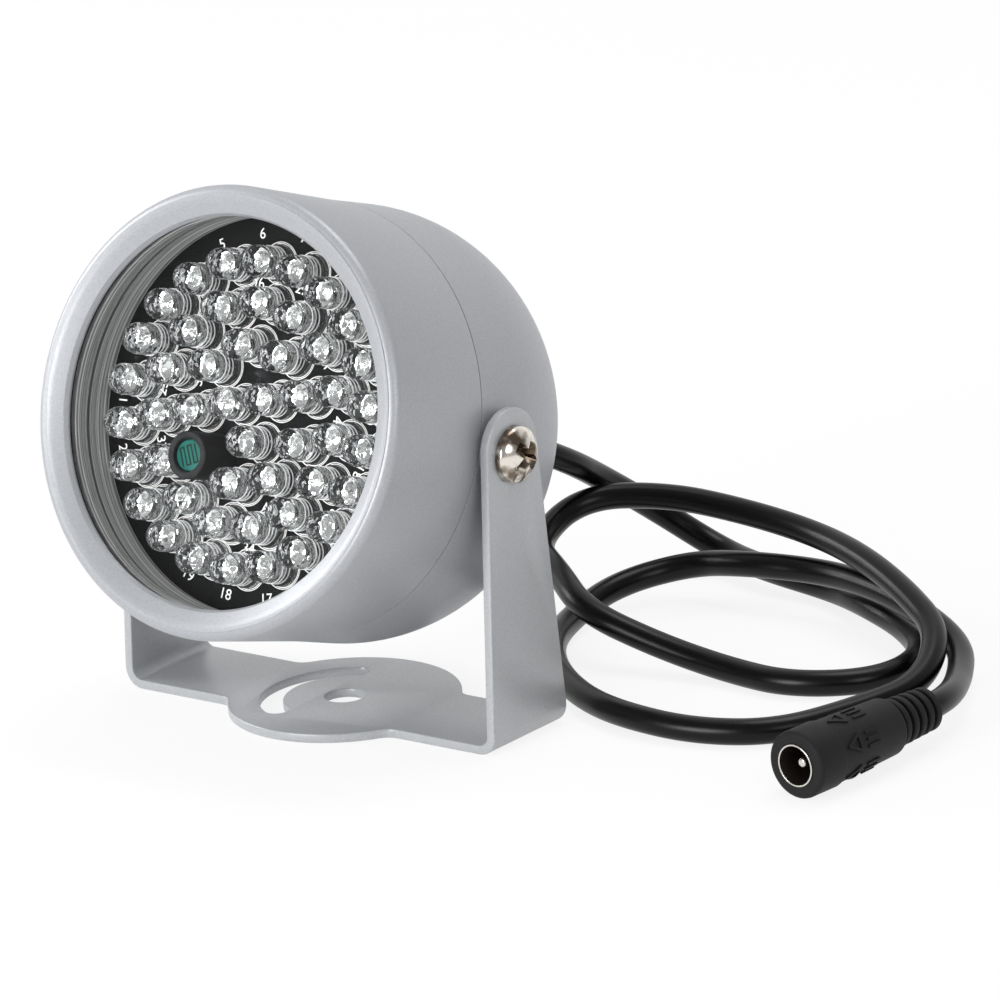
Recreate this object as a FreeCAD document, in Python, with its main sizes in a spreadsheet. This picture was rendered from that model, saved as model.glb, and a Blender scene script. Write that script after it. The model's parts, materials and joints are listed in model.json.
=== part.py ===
import FreeCAD, Part
import math
import os
from types import SimpleNamespace

import Sketcher
from FreeCAD import Placement, Rotation, Vector

# An infrared illuminator: a round two-part housing with 48 emitters behind a glass, tilting
# between the arms of a folded sheet bracket, with a free lead that ends in a low-voltage socket.
# Millimetres. Z is up, the lamp looks along -Y and, at rest, a little upwards. The origin is the
# centre of the bracket's fixing hole, in the plane that the bracket stands on.

doc = FreeCAD.newDocument("infrared_illuminator")

# Driving sizes
# Stations are distances along the lamp's own axis, forward of the tilt pivot.
SIZES = [
    ("pivot_height", 46.6, "height of the tilt pivot over the bracket's underside"),
    ("rest_tilt", 19.0, "how far the lamp looks up at rest, in degrees"),
    # bracket
    ("arm_gap", 0.3, "room between an arm and the widest ring of the housing"),
    ("sheet_thickness", 1.5, "sheet that the bracket is folded from"),
    ("bend_radius", 3.2, "outside radius of both folds"),
    ("strip_half_width", 9.25, "half the width of the strip between the folds"),
    ("pad_radius", 18.45, "round pad in the middle of the strip"),
    ("pad_corner_radius", 3.0, "hollow corner where the pad runs into the strip"),
    ("taper_start_height", 4.0, "height at which the arms begin to narrow"),
    ("arm_end_radius", 6.2, "rounded top end of an arm"),
    ("arm_end_rise", 1.0, "centre of that round over the pivot"),
    ("fixing_hole_radius", 3.2, "hole in the middle of the pad"),
    ("slot_radius", 11.6, "centre line of the curved slot"),
    ("slot_half_width", 1.85, "half the width of the curved slot"),
    ("slot_half_angle", 62.0, "half the angle that the slot's ends span, in degrees"),
    ("pivot_hole_radius", 2.7, "clearance hole for the pivot screw in an arm"),
    # housing outside
    ("crest_station", 27.84, "foremost ring of the bezel"),
    ("crest_round", 1.5, "outer corner radius of the bezel"),
    ("mouth_station", 26.6, "front edge of the round opening"),
    ("bezel_width", 4.9, "from the housing's outside to the round opening for the glass"),
    ("front_radius", 35.2, "largest outside radius, behind the bezel"),
    ("bezel_slope", 0.32, "sine of the angle at which the bezel's face falls inwards"),
    ("seam_taper", 0.8, "how much less the radius is at the joint of the two shells"),
    ("seam_station", 5.1, "joint between front and rear shell"),
    ("dome_start_station", -5.0, "where the rear shell starts to curve in"),
    ("dome_radius", 28.8, "curve of the rear shell, seen from the side"),
    ("dome_end_station", -24.0, "end of that curve"),
    ("rear_corner_radius", 5.0, "corner between the curve and the flat back"),
    # housing inside
    ("shell_wall", 2.2, "wall of the front shell at the joint"),
    ("rear_wall", 2.2, "wall of the rear shell"),
    ("lip_thickness", 1.2, "front lip that the glass stops against"),
    ("spigot_wall", 2.3, "wall of the rear shell's collar inside the front shell"),
    ("spigot_clearance", 0.1, "running fit of the collar in the front shell"),
    ("gasket_thickness", 0.4, "seal between lip and glass"),
    ("glass_thickness", 1.5, "clear front glass"),
    ("glass_clearance", 0.15, "radial play of glass, sleeve and board in the bore"),
    ("sleeve_wall", 0.9, "turned sleeve between glass and board"),
    ("sleeve_lip_wall", 1.5, "thicker front end of the sleeve"),
    ("sleeve_lip_length", 2.4, "length of that front end"),
    ("board_front_station", 14.8, "face of the board that carries the emitters"),
    ("board_thickness", 1.6, "circuit board"),
    ("seal_groove_station", 8.0, "front side of the seal's groove on the collar"),
    ("seal_width", 1.8, "width of the seal's groove"),
    ("seal_depth", 1.0, "depth of that groove"),
    ("seal_squeeze", 0.02, "gap left between the seal and the bore"),
    # emitters: 5 mm domes in four rings
    ("led_radius", 2.5, "clear body of an emitter"),
    ("led_rim_radius", 2.9, "rim at the foot of an emitter"),
    ("led_rim_height", 1.0, "height of that rim"),
    ("led_height", 8.6, "board to the tip of the dome"),
    ("led_dome_inset", 1.4, "how far the tip's slope comes in"),
    ("led_dome_height", 1.7, "height of that slope"),
    ("outer_ring_gap", 0.54, "radial room between the rims of the outer and middle rings"),
    ("outer_ring_phase", 190.6, "angle of its first emitter, in degrees"),
    ("middle_ring_gap", 0.74, "the same between the middle and inner rings"),
    ("middle_ring_phase", 187.3, "angle of its first emitter, in degrees"),
    ("inner_ring_gap", 0.95, "the same between the inner ring and the centre"),
    ("inner_ring_phase", 183.1, "angle of its first emitter, in degrees"),
    ("centre_ring_radius", 4.17, "ring of 3 emitters"),
    ("centre_ring_phase", 162.0, "angle of its first emitter, in degrees"),
    # light sensor
    ("sensor_radius", 2.55, "light sensor's disc"),
    ("sensor_height", 2.0, "thickness of the light sensor"),
    ("sensor_foot", 0.6, "light sensor's height over the board"),
    ("sensor_sleeve_radius", 3.55, "outside of the black sleeve round it"),
    ("sensor_sleeve_wall", 0.85, "wall of that sleeve"),
    ("sensor_sleeve_height", 5.0, "sleeve's height over the board"),
    # pivot
    ("boss_radius", 4.9, "round boss on each side of the rear shell"),
    ("boss_depth", 8.0, "length of a boss inwards from its face"),
    ("washer_thickness", 0.5, "friction washer between boss and arm"),
    ("washer_radius", 4.8, "outside of that washer"),
    ("screw_radius", 2.5, "pivot screw's shank"),
    ("screw_thread_play", 0.05, "play of the shank in the boss"),
    ("screw_depth", 7.0, "length of shank inside the boss"),
    ("screw_head_radius", 4.5, "pan head"),
    ("screw_rim_height", 1.2, "straight part of the pan head"),
    ("screw_head_height", 3.3, "whole head"),
    ("recess_half_width", 0.55, "half the width of an arm of the cross recess"),
    ("recess_reach", 2.5, "half the length of the cross recess"),
    ("recess_depth", 2.2, "depth of the cross recess"),
    # cord and its grommet
    ("cord_radius", 2.1, "round lead"),
    ("grommet_hole_radius", 3.7, "hole in the housing's back"),
    ("grommet_play", 0.05, "play of grommet and cord parts in their holes"),
    ("grommet_flange_radius", 5.4, "grommet's flanges, inside and out"),
    ("grommet_flange", 1.7, "thickness of a flange"),
    ("grommet_neck_radius", 4.3, "sleeve of the grommet at its root"),
    ("grommet_end_radius", 3.1, "and at its end"),
    ("grommet_length", 10.2, "how far the grommet stands out of the back"),
    ("cord_tail_length", 7.0, "sheathed cord inside the housing"),
    ("lead_radius", 0.75, "insulated leads inside the housing"),
    ("lead_spacing", 1.0, "half the distance between the two leads"),
    # parts on the back of the board
    ("header_width", 6.0, "two-way connector"),
    ("header_depth", 4.5, "its depth"),
    ("header_height", 6.5, "its height over the board"),
    ("resistor_length", 3.2, "chip resistor"),
    ("resistor_width", 1.6, "its width"),
    ("resistor_height", 0.6, "its height"),
    ("resistor_ring_radius", 20.0, "ring of eight chip resistors"),
    ("transistor_width", 6.6, "switching transistor"),
    ("transistor_length", 6.1, "its body"),
    ("transistor_height", 2.3, "its height over the board"),
    ("transistor_tab", 1.2, "metal tab beyond the body"),
    ("transistor_tab_inset", 0.6, "how much narrower the tab is on each side"),
    ("transistor_offset", 10.0, "distance from the middle of the board"),
    ("diode_length", 4.3, "diode against reversed polarity"),
    ("diode_width", 2.6, "its width"),
    ("diode_height", 2.2, "its height over the board"),
    ("diode_offset", 9.0, "distance from the middle of the board"),
    # socket on the lead's end
    ("socket_x", 90.0, "middle of the socket's front face"),
    ("socket_y", -2.8, "and its place along Y"),
    ("socket_heading", 4.8, "turn of the socket away from Y, in degrees"),
    ("socket_radius", 5.4, "moulded front collar, which lies on the floor"),
    ("socket_edge", 0.5, "chamfer round the collar's front"),
    ("socket_collar_length", 6.0, "length of that collar"),
    ("socket_grip_radius", 5.15, "grip behind the collar"),
    ("socket_grip_length", 15.0, "length of the grip"),
    ("socket_neck_radius", 4.6, "rear end of the grip"),
    ("relief_radius", 3.9, "ribs of the strain relief at its root"),
    ("relief_end_radius", 3.5, "and at its end"),
    ("relief_pitch", 1.9, "spacing of the five ribs"),
    ("relief_rib", 1.15, "width of a rib"),
    ("relief_core_radius", 2.9, "strain relief between the ribs"),
    ("socket_bore_depth", 9.5, "depth of the contact sleeve"),
    ("contact_radius", 3.35, "outside of the contact sleeve"),
    ("contact_wall", 0.4, "wall of the contact sleeve"),
    ("contact_proud", 0.3, "how far the contact sleeve stands out"),
    ("insulator_thickness", 1.5, "insulator at the bottom of the socket"),
    ("pin_radius", 1.05, "centre pin"),
    ("pin_recess", 1.0, "tip of the pin behind the front face"),
]


class Size:
    """A length that keeps both its formula over the sheet's names and its present value."""

    def __init__(self, text, value):
        self.text = text
        self.value = value

    def _with(self, sign, other, value):
        return Size(f"({self.text} {sign} {other.text})", value)

    def __add__(self, other):
        other = size(other)
        return self._with("+", other, self.value + other.value)

    def __sub__(self, other):
        other = size(other)
        return self._with("-", other, self.value - other.value)

    def __mul__(self, other):
        other = size(other)
        return self._with("*", other, self.value * other.value)

    def __truediv__(self, other):
        other = size(other)
        return self._with("/", other, self.value / other.value)

    def __neg__(self):
        return Size(f"(0 - {self.text})", -self.value)


def size(number):
    """A plain number as a Size; a Size stays as it is."""
    return number if isinstance(number, Size) else Size(f"{number:.6f}", float(number))


def root(x):
    return Size(f"sqrt({x.text})", math.sqrt(x.value))


def cosine(angle):
    return Size(f"cos({angle.text})", math.cos(math.radians(angle.value)))


def sine(angle):
    return Size(f"sin({angle.text})", math.sin(math.radians(angle.value)))


sheet = doc.addObject("Spreadsheet::Sheet", "Sizes")
for row, (name, number, meaning) in enumerate(SIZES, start=1):
    sheet.set(f"A{row}", name)
    sheet.set(f"B{row}", str(number))
    sheet.set(f"C{row}", meaning)
    sheet.setAlias(f"B{row}", name)
doc.recompute()
D = SimpleNamespace(**{name: Size(f"Sizes.{name}", float(number)) for name, number, _ in SIZES})

# Where the loose lead goes behind and beside the bracket, in the assembly's frame: down from the
# grommet to the floor, forward, back over itself, and round once more to the socket.
CORD_ROUTE = [
    (4.5, 54.0, 26.5), (2.0, 65.0, 18.9), (5.2, 75.1, 11.0), (14.6, 80.3, 3.5),
    (26.6, 75.6, 3.7), (39.4, 76.0, 2.1), (50.7, 69.7, 3.2), (62.6, 64.6, 2.3),
    (72.3, 55.7, 2.2), (73.0, 42.6, 2.2), (61.7, 34.6, 2.2), (48.5, 36.0, 2.1),
    (35.2, 35.0, 4.6), (22.5, 33.2, 8.9), (12.0, 40.6, 11.4), (1.4, 48.0, 12.4),
    (2.2, 60.1, 16.9), (14.4, 67.2, 16.9), (27.6, 70.0, 15.2), (41.3, 69.7, 13.7),
    (54.1, 65.0, 13.0), (66.3, 59.3, 10.9), (77.6, 52.7, 7.8), (82.2, 40.8, 3.5),
    (78.2, 27.8, 2.6), (72.7, 15.4, 2.2), (60.8, 10.2, 2.1), (47.5, 9.9, 2.7),
    (35.5, 15.2, 2.1), (24.6, 22.7, 2.4), (15.9, 32.6, 2.4), (10.6, 44.5, 2.2),
    (10.0, 57.5, 4.0), (17.6, 68.0, 5.6), (30.2, 66.6, 7.8), (43.0, 69.0, 7.7),
    (55.3, 65.7, 8.2), (67.5, 61.7, 7.0), (78.8, 56.6, 4.5), (85.8, 46.1, 3.5),
]
CORD_RUN_OUT = 8.0  # straight run out of the grommet
CORD_RUN_IN = 8.6  # and into the socket

# Sizes that follow from the driving ones
seam_radius = D.front_radius - D.seam_taper
bore_radius = seam_radius - D.shell_wall
mouth_radius = D.front_radius - D.bezel_width
inner_half_width = D.front_radius + D.arm_gap
arm_face = inner_half_width + D.sheet_thickness
boss_face = inner_half_width - D.washer_thickness
glass_front = D.mouth_station - D.lip_thickness - D.gasket_thickness
glass_back = glass_front - D.glass_thickness
fit_radius = bore_radius - D.glass_clearance
board_back = D.board_front_station - D.board_thickness
spigot_radius = bore_radius - D.spigot_clearance
dome_centre = seam_radius - D.dome_radius
dome_run = D.dome_start_station - D.dome_end_station
dome_sine = dome_run / D.dome_radius
dome_cosine = root(size(1) - dome_sine * dome_sine)
dome_end_radius = dome_centre + D.dome_radius * dome_cosine
back_station = D.dome_end_station - D.rear_corner_radius * (size(1) - dome_sine)
back_flat_radius = dome_end_radius - D.rear_corner_radius * dome_cosine
inner_back = back_station + D.rear_wall
cord_exit_station = back_station - D.grommet_length
inner_ring_radius = D.centre_ring_radius + D.led_rim_radius * 2 + D.inner_ring_gap
middle_ring_radius = inner_ring_radius + D.led_rim_radius * 2 + D.middle_ring_gap
outer_ring_radius = middle_ring_radius + D.led_rim_radius * 2 + D.outer_ring_gap

HEAD_PLACE = "placement(vector(0; 0; Sizes.pivot_height); rotation(vector(1; 0; 0); 0 - Sizes.rest_tilt))"
SOCKET_PLACE = (
    "placement(vector(Sizes.socket_x; Sizes.socket_y; Sizes.socket_radius);"
    " rotation(vector(0; 0; 1); 0 - Sizes.socket_heading))"
)
INNER_STEP = 360 / 9  # degrees between the nine places of the inner ring
nodes = []


# Helpers for sketches and features


def new_body(name, place=None):
    """A body that becomes a node of its own."""
    body = doc.addObject("PartDesign::Body", name)
    body.Label = name
    body.AllowCompound = True
    if place:
        body.setExpression("Placement", place)
    nodes.append(body)
    return body


def line(x, y):
    """A corner of an outline with a straight run to the next one."""
    return (size(x), size(y), None, 0)


def arc(x, y, radius, side):
    """A corner with an arc to the next one: side is 1 if it bulges right of the way, -1 left."""
    return (size(x), size(y), size(radius), side)


def middle_of_arc(start, end, radius, side):
    """The middle of the shorter arc of this radius from start to end."""
    chord = end - start
    across = Vector(chord.y, -chord.x, 0).normalize()
    half = chord.Length / 2
    rise = radius - math.sqrt(max(radius * radius - half * half, 0))
    return start + chord / 2 + across * rise * side


def bind(sketch, kind, *where):
    """A constraint whose value follows a Size, the last of the arguments."""
    index = sketch.addConstraint(Sketcher.Constraint(kind, *where[:-1], where[-1].value))
    sketch.setExpression(f"Constraints[{index}]", where[-1].text)


def add_loop(sketch, corners):
    """One closed outline of straight runs and arcs, each corner held by the sheet."""
    spots = [Vector(x.value, y.value, 0) for x, y, _, _ in corners]
    ends = []
    for k, (_, _, radius, side) in enumerate(corners):
        a, b = spots[k], spots[(k + 1) % len(corners)]
        if radius is None:
            piece = sketch.addGeometry(Part.LineSegment(a, b))
        else:
            middle = middle_of_arc(a, b, radius.value, side)
            piece = sketch.addGeometry(Part.Arc(a, middle, b))
        first = 1 if (sketch.getPoint(piece, 1) - a).Length < 1e-6 else 2
        ends.append((piece, first, 3 - first))
    for k, (x, y, radius, _) in enumerate(corners):
        piece, first, last = ends[k]
        after, after_first, _ = ends[(k + 1) % len(corners)]
        sketch.addConstraint(Sketcher.Constraint("Coincident", piece, last, after, after_first))
        bind(sketch, "DistanceX", -1, 1, piece, first, x)
        bind(sketch, "DistanceY", -1, 1, piece, first, y)
        if radius is not None:
            bind(sketch, "Radius", piece, radius)


def add_circle(sketch, x, y, radius):
    """A whole circle held by the sheet."""
    x, y = size(x), size(y)
    centre = Vector(x.value, y.value, 0)
    piece = sketch.addGeometry(Part.Circle(centre, Vector(0, 0, 1), radius.value))
    bind(sketch, "DistanceX", -1, 1, piece, 3, x)
    bind(sketch, "DistanceY", -1, 1, piece, 3, y)
    bind(sketch, "Radius", piece, radius)


def new_sketch(body, plane, offset=None):
    """An empty sketch on one of the body's own planes, moved along its normal by offset."""
    sketch = body.newObject("Sketcher::SketchObject", f"{body.Name}_outline")
    origin = next(o for o in body.Origin.OriginFeatures if o.Role == plane)
    sketch.AttachmentSupport = [(origin, "")]
    sketch.MapMode = "FlatFace"
    if offset is not None:
        sketch.AttachmentOffset = Placement(Vector(0, 0, offset.value), Rotation())
        sketch.setExpression("AttachmentOffset.Base.z", offset.text)
    return sketch


def turned(body, corners, plane="YZ_Plane", groove=False):
    """A solid turned about the sketch's horizontal axis, or a groove turned into one."""
    sketch = new_sketch(body, plane)
    add_loop(sketch, corners)
    kind = "PartDesign::Groove" if groove else "PartDesign::Revolution"
    feature = body.newObject(kind, f"{body.Name}_turned")
    feature.Profile = sketch
    feature.ReferenceAxis = (sketch, ["H_Axis"])
    feature.Angle = 360
    sketch.Visibility = False
    return feature


def pad(body, sketch, length, midplane=False, reverse=False):
    feature = body.newObject("PartDesign::Pad", f"{body.Name}_pad")
    feature.Profile = sketch
    feature.Length = length.value
    feature.setExpression("Length", length.text)
    feature.Reversed = reverse
    if midplane:
        feature.Midplane = True
    return feature


def pocket(body, sketch, length, midplane=False, reverse=False):
    feature = body.newObject("PartDesign::Pocket", f"{body.Name}_pocket")
    feature.Profile = sketch
    feature.Length = length.value
    feature.setExpression("Length", length.text)
    feature.Reversed = reverse
    if midplane:
        feature.Midplane = True
    return feature


def rectangle(x0, y0, x1, y1):
    return [line(x0, y0), line(x1, y0), line(x1, y1), line(x0, y1)]


def ring(body, station, length, outer, inner=None):
    """A disc or tube on the lamp's axis: station is its back, length runs forward."""
    sketch = new_sketch(body, "XZ_Plane", station)
    add_circle(sketch, 0, 0, outer)
    if inner is not None:
        add_circle(sketch, 0, 0, inner)
    return pad(body, sketch, length)


def repeat(body, features, count, angle):
    """Copies of the features round the lamp's axis, count in all."""
    pattern = body.newObject("PartDesign::PolarPattern", f"{body.Name}_pattern")
    pattern.Originals = features
    axis = next(o for o in body.Origin.OriginFeatures if o.Role == "Y_Axis")
    pattern.Axis = (axis, [""])
    pattern.Angle = angle
    pattern.Occurrences = count
    body.Tip = pattern
    return pattern


# Bracket


def make_bracket():
    """A strip folded into a U, cut to its flat outlines from the side and from above."""
    body = new_body("bracket")
    half, thick, bend = arm_face, D.sheet_thickness, D.bend_radius
    arm_centre = D.pivot_height + D.arm_end_rise
    top = arm_centre + D.arm_end_radius + 2
    inside = bend - thick
    section = new_sketch(body, "XZ_Plane")
    add_loop(
        section,
        [
            line(-half, top),
            arc(-half, bend, bend, 1),
            line(bend - half, 0),
            arc(half - bend, 0, bend, 1),
            line(half, bend),
            line(half, top),
            line(half - thick, top),
            arc(half - thick, bend, inside, -1),
            line(half - bend, thick),
            arc(bend - half, thick, inside, -1),
            line(thick - half, bend),
            line(thick - half, top),
        ],
    )
    reach = D.pad_radius + 3
    pad(body, section, reach * 2, midplane=True)

    # seen from above: the strip with its round pad
    strip, corner = D.strip_half_width, D.pad_corner_radius
    both = D.pad_radius + corner
    corner_x = root(both * both - (strip + corner) * (strip + corner))
    share = D.pad_radius / both
    on_pad_x, on_pad_y = corner_x * share, (strip + corner) * share
    end = half + 2
    plan = new_sketch(body, "XY_Plane")
    add_loop(plan, rectangle(-(end + 2), -(reach + 2), end + 2, reach + 2))
    add_loop(
        plan,
        [
            line(-end, -strip),
            arc(-corner_x, -strip, corner, -1),
            arc(-on_pad_x, -on_pad_y, D.pad_radius, 1),
            arc(on_pad_x, -on_pad_y, corner, -1),
            line(corner_x, -strip),
            line(end, -strip),
            line(end, strip),
            arc(corner_x, strip, corner, -1),
            arc(on_pad_x, on_pad_y, D.pad_radius, 1),
            arc(-on_pad_x, on_pad_y, corner, -1),
            line(-corner_x, strip),
            line(-end, strip),
        ],
    )
    pocket(body, plan, top * 3, midplane=True)

    # seen from the side: arms that narrow to a rounded end, tangent to it
    start, rounded = D.taper_start_height, D.arm_end_radius
    rise = arm_centre - start
    far = strip * strip + rise * rise
    along = root(far - rounded * rounded)
    touch_y = rounded * (rounded * strip + along * rise) / far
    touch_z = arm_centre + rounded * (along * strip - rounded * rise) / far
    side = new_sketch(body, "YZ_Plane")
    add_loop(side, rectangle(-(reach + 4), size(-4), reach + 4, top + 4))
    add_loop(
        side,
        [
            line(-(reach + 2), -2),
            line(reach + 2, -2),
            line(reach + 2, start),
            line(strip, start),
            arc(touch_y, touch_z, rounded, 1),
            arc(0, arm_centre + rounded, rounded, 1),
            line(-touch_y, touch_z),
            line(-strip, start),
            line(-(reach + 2), start),
        ],
    )
    pocket(body, side, arm_face * 4, midplane=True)

    holes = new_sketch(body, "XY_Plane")
    add_circle(holes, 0, 0, D.fixing_hole_radius)
    outer, inner = D.slot_radius + D.slot_half_width, D.slot_radius - D.slot_half_width
    cos_end, sin_end = cosine(D.slot_half_angle), sine(D.slot_half_angle)
    add_loop(
        holes,
        [
            arc(-(outer * cos_end), outer * sin_end, outer, 1),
            arc(-outer, 0, outer, 1),
            arc(-(outer * cos_end), -(outer * sin_end), D.slot_half_width, 1),
            arc(-(inner * cos_end), -(inner * sin_end), inner, -1),
            arc(-inner, 0, inner, -1),
            arc(-(inner * cos_end), inner * sin_end, D.slot_half_width, 1),
        ],
    )
    pocket(body, holes, thick * 4, midplane=True)

    pivots = new_sketch(body, "YZ_Plane")
    add_circle(pivots, 0, D.pivot_height, D.pivot_hole_radius)
    pocket(body, pivots, arm_face * 4, midplane=True)


# Housing


def make_front_shell():
    """Turned front shell: bezel, lip for the glass, and a bore that takes the collar."""
    body = new_body("front_shell", HEAD_PLACE)
    crest = D.crest_round
    corner_back = D.crest_station - crest
    corner_radius = D.front_radius - crest
    lip_back = D.mouth_station - D.lip_thickness
    face_angle = 90 + math.degrees(math.asin(D.bezel_slope.value))
    round_corner = []
    for degrees in (face_angle, 90, 60, 30, 0):
        turn = math.radians(degrees)
        x = corner_back + crest * math.sin(turn)
        round_corner.append(line(-x, corner_radius + crest * math.cos(turn)))
    turned(
        body,
        [
            line(-lip_back, mouth_radius),
            line(-D.mouth_station, mouth_radius),
            *round_corner,
            line(-D.seam_station, seam_radius),
            line(-D.seam_station, bore_radius),
            line(-lip_back, bore_radius),
        ],
    )


def make_rear_shell():
    """Domed rear shell with a collar, two pivot bosses and a hole for the grommet."""
    body = new_body("rear_shell", HEAD_PLACE)
    spigot_inner = spigot_radius - D.spigot_wall
    wall = D.rear_wall
    inner_dome = D.dome_radius - wall
    inner_radius = seam_radius - wall
    step = D.seam_station - wall
    cavity = []
    for share in (1, 0.72, 0.4):
        run = (D.dome_start_station - inner_back) * share
        radius = dome_centre + root(inner_dome * inner_dome - run * run)
        cavity.append(line(-(D.dome_start_station - run), radius))
    turned(
        body,
        [
            line(-board_back, spigot_inner),
            line(-board_back, spigot_radius),
            line(-D.seam_station, spigot_radius),
            line(-D.seam_station, seam_radius),
            arc(-D.dome_start_station, seam_radius, D.dome_radius, -1),
            arc(-D.dome_end_station, dome_end_radius, D.rear_corner_radius, -1),
            line(-back_station, back_flat_radius),
            line(-back_station, D.grommet_hole_radius),
            line(-inner_back, D.grommet_hole_radius),
            *cavity,
            line(-D.dome_start_station, inner_radius),
            line(-step, inner_radius),
            line(-(step + wall), spigot_inner),
        ],
    )
    groove_back = D.seal_groove_station - D.seal_width
    floor = spigot_radius - D.seal_depth
    turned(
        body,
        rectangle(-D.seal_groove_station, floor, -groove_back, spigot_radius + 1),
        groove=True,
    )
    start = boss_face - D.boss_depth
    for sign in (1, -1):
        boss = new_sketch(body, "YZ_Plane", start * sign)
        add_circle(boss, 0, 0, D.boss_radius)
        pad(body, boss, D.boss_depth, reverse=sign < 0)
    for sign in (1, -1):
        bore = new_sketch(body, "YZ_Plane", boss_face * sign)
        add_circle(bore, 0, 0, D.screw_radius + D.screw_thread_play)
        pocket(body, bore, D.boss_depth + 2, reverse=sign < 0)


def make_seals_and_glass():
    """What is stacked in the front shell, from the lip back to the board."""
    ring(
        new_body("glass_gasket", HEAD_PLACE),
        glass_front,
        D.gasket_thickness,
        fit_radius,
        mouth_radius + 0.1,
    )
    ring(new_body("front_glass", HEAD_PLACE), glass_back, D.glass_thickness, fit_radius)
    sleeve = new_body("spacer_sleeve", HEAD_PLACE)
    thin, thick = fit_radius - D.sleeve_wall, fit_radius - D.sleeve_lip_wall
    lip_end = glass_back - D.sleeve_lip_length
    turned(
        sleeve,
        [
            line(-D.board_front_station, thin),
            line(-D.board_front_station, fit_radius),
            line(-glass_back, fit_radius),
            line(-glass_back, thick),
            line(-lip_end, thick),
            line(-lip_end, thin),
        ],
    )
    seal = new_body("shell_seal", HEAD_PLACE)
    groove_back = D.seal_groove_station - D.seal_width
    ring(
        seal,
        groove_back,
        D.seal_width,
        bore_radius - D.seal_squeeze,
        spigot_radius - D.seal_depth,
    )


# Emitters and light sensor


def polygon(x, y, radius, sides=10):
    """A regular polygon about a round size, so that the repeated emitters stay light."""
    out = []
    for k in range(sides):
        turn = 2 * math.pi * (k + 0.5) / sides
        out.append(line(x + radius * math.cos(turn), y + radius * math.sin(turn)))
    return out


def emitter(body, ring_radius, phase):
    """One emitter: rim, clear body and a tip sloped in place of the true dome."""
    turn = math.radians(phase)
    x, y = ring_radius * math.cos(turn), ring_radius * math.sin(turn)
    foot = D.board_front_station
    rim = new_sketch(body, "XZ_Plane", foot)
    add_loop(rim, polygon(x, y, D.led_rim_radius))
    first = pad(body, rim, D.led_rim_height)
    stem = new_sketch(body, "XZ_Plane", foot + D.led_rim_height)
    add_loop(stem, polygon(x, y, D.led_radius))
    second = pad(body, stem, D.led_height - D.led_rim_height)
    doc.recompute()
    faces = second.Shape.Faces
    tip = min(range(len(faces)), key=lambda k: faces[k].CenterOfMass.y)
    dome = body.newObject("PartDesign::Chamfer", f"{body.Name}_dome")
    dome.Base = (second, [f"Face{tip + 1}"])
    dome.ChamferType = "Two distances"
    dome.Size = D.led_dome_height.value
    dome.setExpression("Size", D.led_dome_height.text)
    dome.Size2 = D.led_dome_inset.value
    dome.setExpression("Size2", D.led_dome_inset.text)
    return [first, second, dome]


def make_emitters():
    """Rings of 22, 15, 8 and 3; the inner one leaves its ninth place to the light sensor."""
    rings = [
        ("leds_outer", outer_ring_radius, D.outer_ring_phase, 22, 360),
        ("leds_middle", middle_ring_radius, D.middle_ring_phase, 15, 360),
        ("leds_inner", inner_ring_radius, D.inner_ring_phase, 8, 360 - 2 * INNER_STEP),
        ("leds_centre", D.centre_ring_radius, D.centre_ring_phase, 3, 360),
    ]
    for name, ring_radius, phase, count, angle in rings:
        body = new_body(name, HEAD_PLACE)
        repeat(body, emitter(body, ring_radius, phase.value), count, angle)


def make_light_sensor():
    """A flat disc recessed in a black sleeve, in the ninth place of the inner ring."""
    turn = math.radians(D.inner_ring_phase.value + INNER_STEP)
    x, y = inner_ring_radius * math.cos(turn), inner_ring_radius * math.sin(turn)
    disc = new_body("light_sensor", HEAD_PLACE)
    outline = new_sketch(disc, "XZ_Plane", D.board_front_station + D.sensor_foot)
    add_circle(outline, x, y, D.sensor_radius)
    pad(disc, outline, D.sensor_height)
    sleeve = new_body("light_sensor_sleeve", HEAD_PLACE)
    outline = new_sketch(sleeve, "XZ_Plane", D.board_front_station)
    add_circle(outline, x, y, D.sensor_sleeve_radius)
    add_circle(outline, x, y, D.sensor_sleeve_radius - D.sensor_sleeve_wall)
    pad(sleeve, outline, D.sensor_sleeve_height)


# Board and what is soldered to its back


def board_block(name, x, y, width, length, height):
    """A block standing on the back of the board."""
    body = new_body(name, HEAD_PLACE)
    outline = new_sketch(body, "XZ_Plane", board_back)
    x, y = size(x), size(y)
    add_loop(outline, rectangle(x - width / 2, y - length / 2, x + width / 2, y + length / 2))
    pad(body, outline, height, reverse=True)
    return body


def make_board():
    ring(new_body("led_board", HEAD_PLACE), board_back, D.board_thickness, fit_radius)
    board_block("lead_header", 0, 0, D.header_width, D.header_depth, D.header_height)
    board_block("polarity_diode", 0, D.diode_offset, D.diode_length, D.diode_width, D.diode_height)
    transistor = board_block(
        "switch_transistor",
        D.transistor_offset,
        0,
        D.transistor_width,
        D.transistor_length,
        D.transistor_height,
    )
    tab = new_sketch(transistor, "XZ_Plane", board_back)
    edge = D.transistor_length / 2
    half = D.transistor_width / 2 - D.transistor_tab_inset
    x = D.transistor_offset
    add_loop(tab, rectangle(x - half, edge - 1, x + half, edge + D.transistor_tab))
    pad(transistor, tab, D.transistor_height / 4, reverse=True)
    resistors = board_block(
        "string_resistors",
        D.resistor_ring_radius,
        0,
        D.resistor_width,
        D.resistor_length,
        D.resistor_height,
    )
    repeat(resistors, [resistors.Tip], 8, 360)


# Pivot


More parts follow.
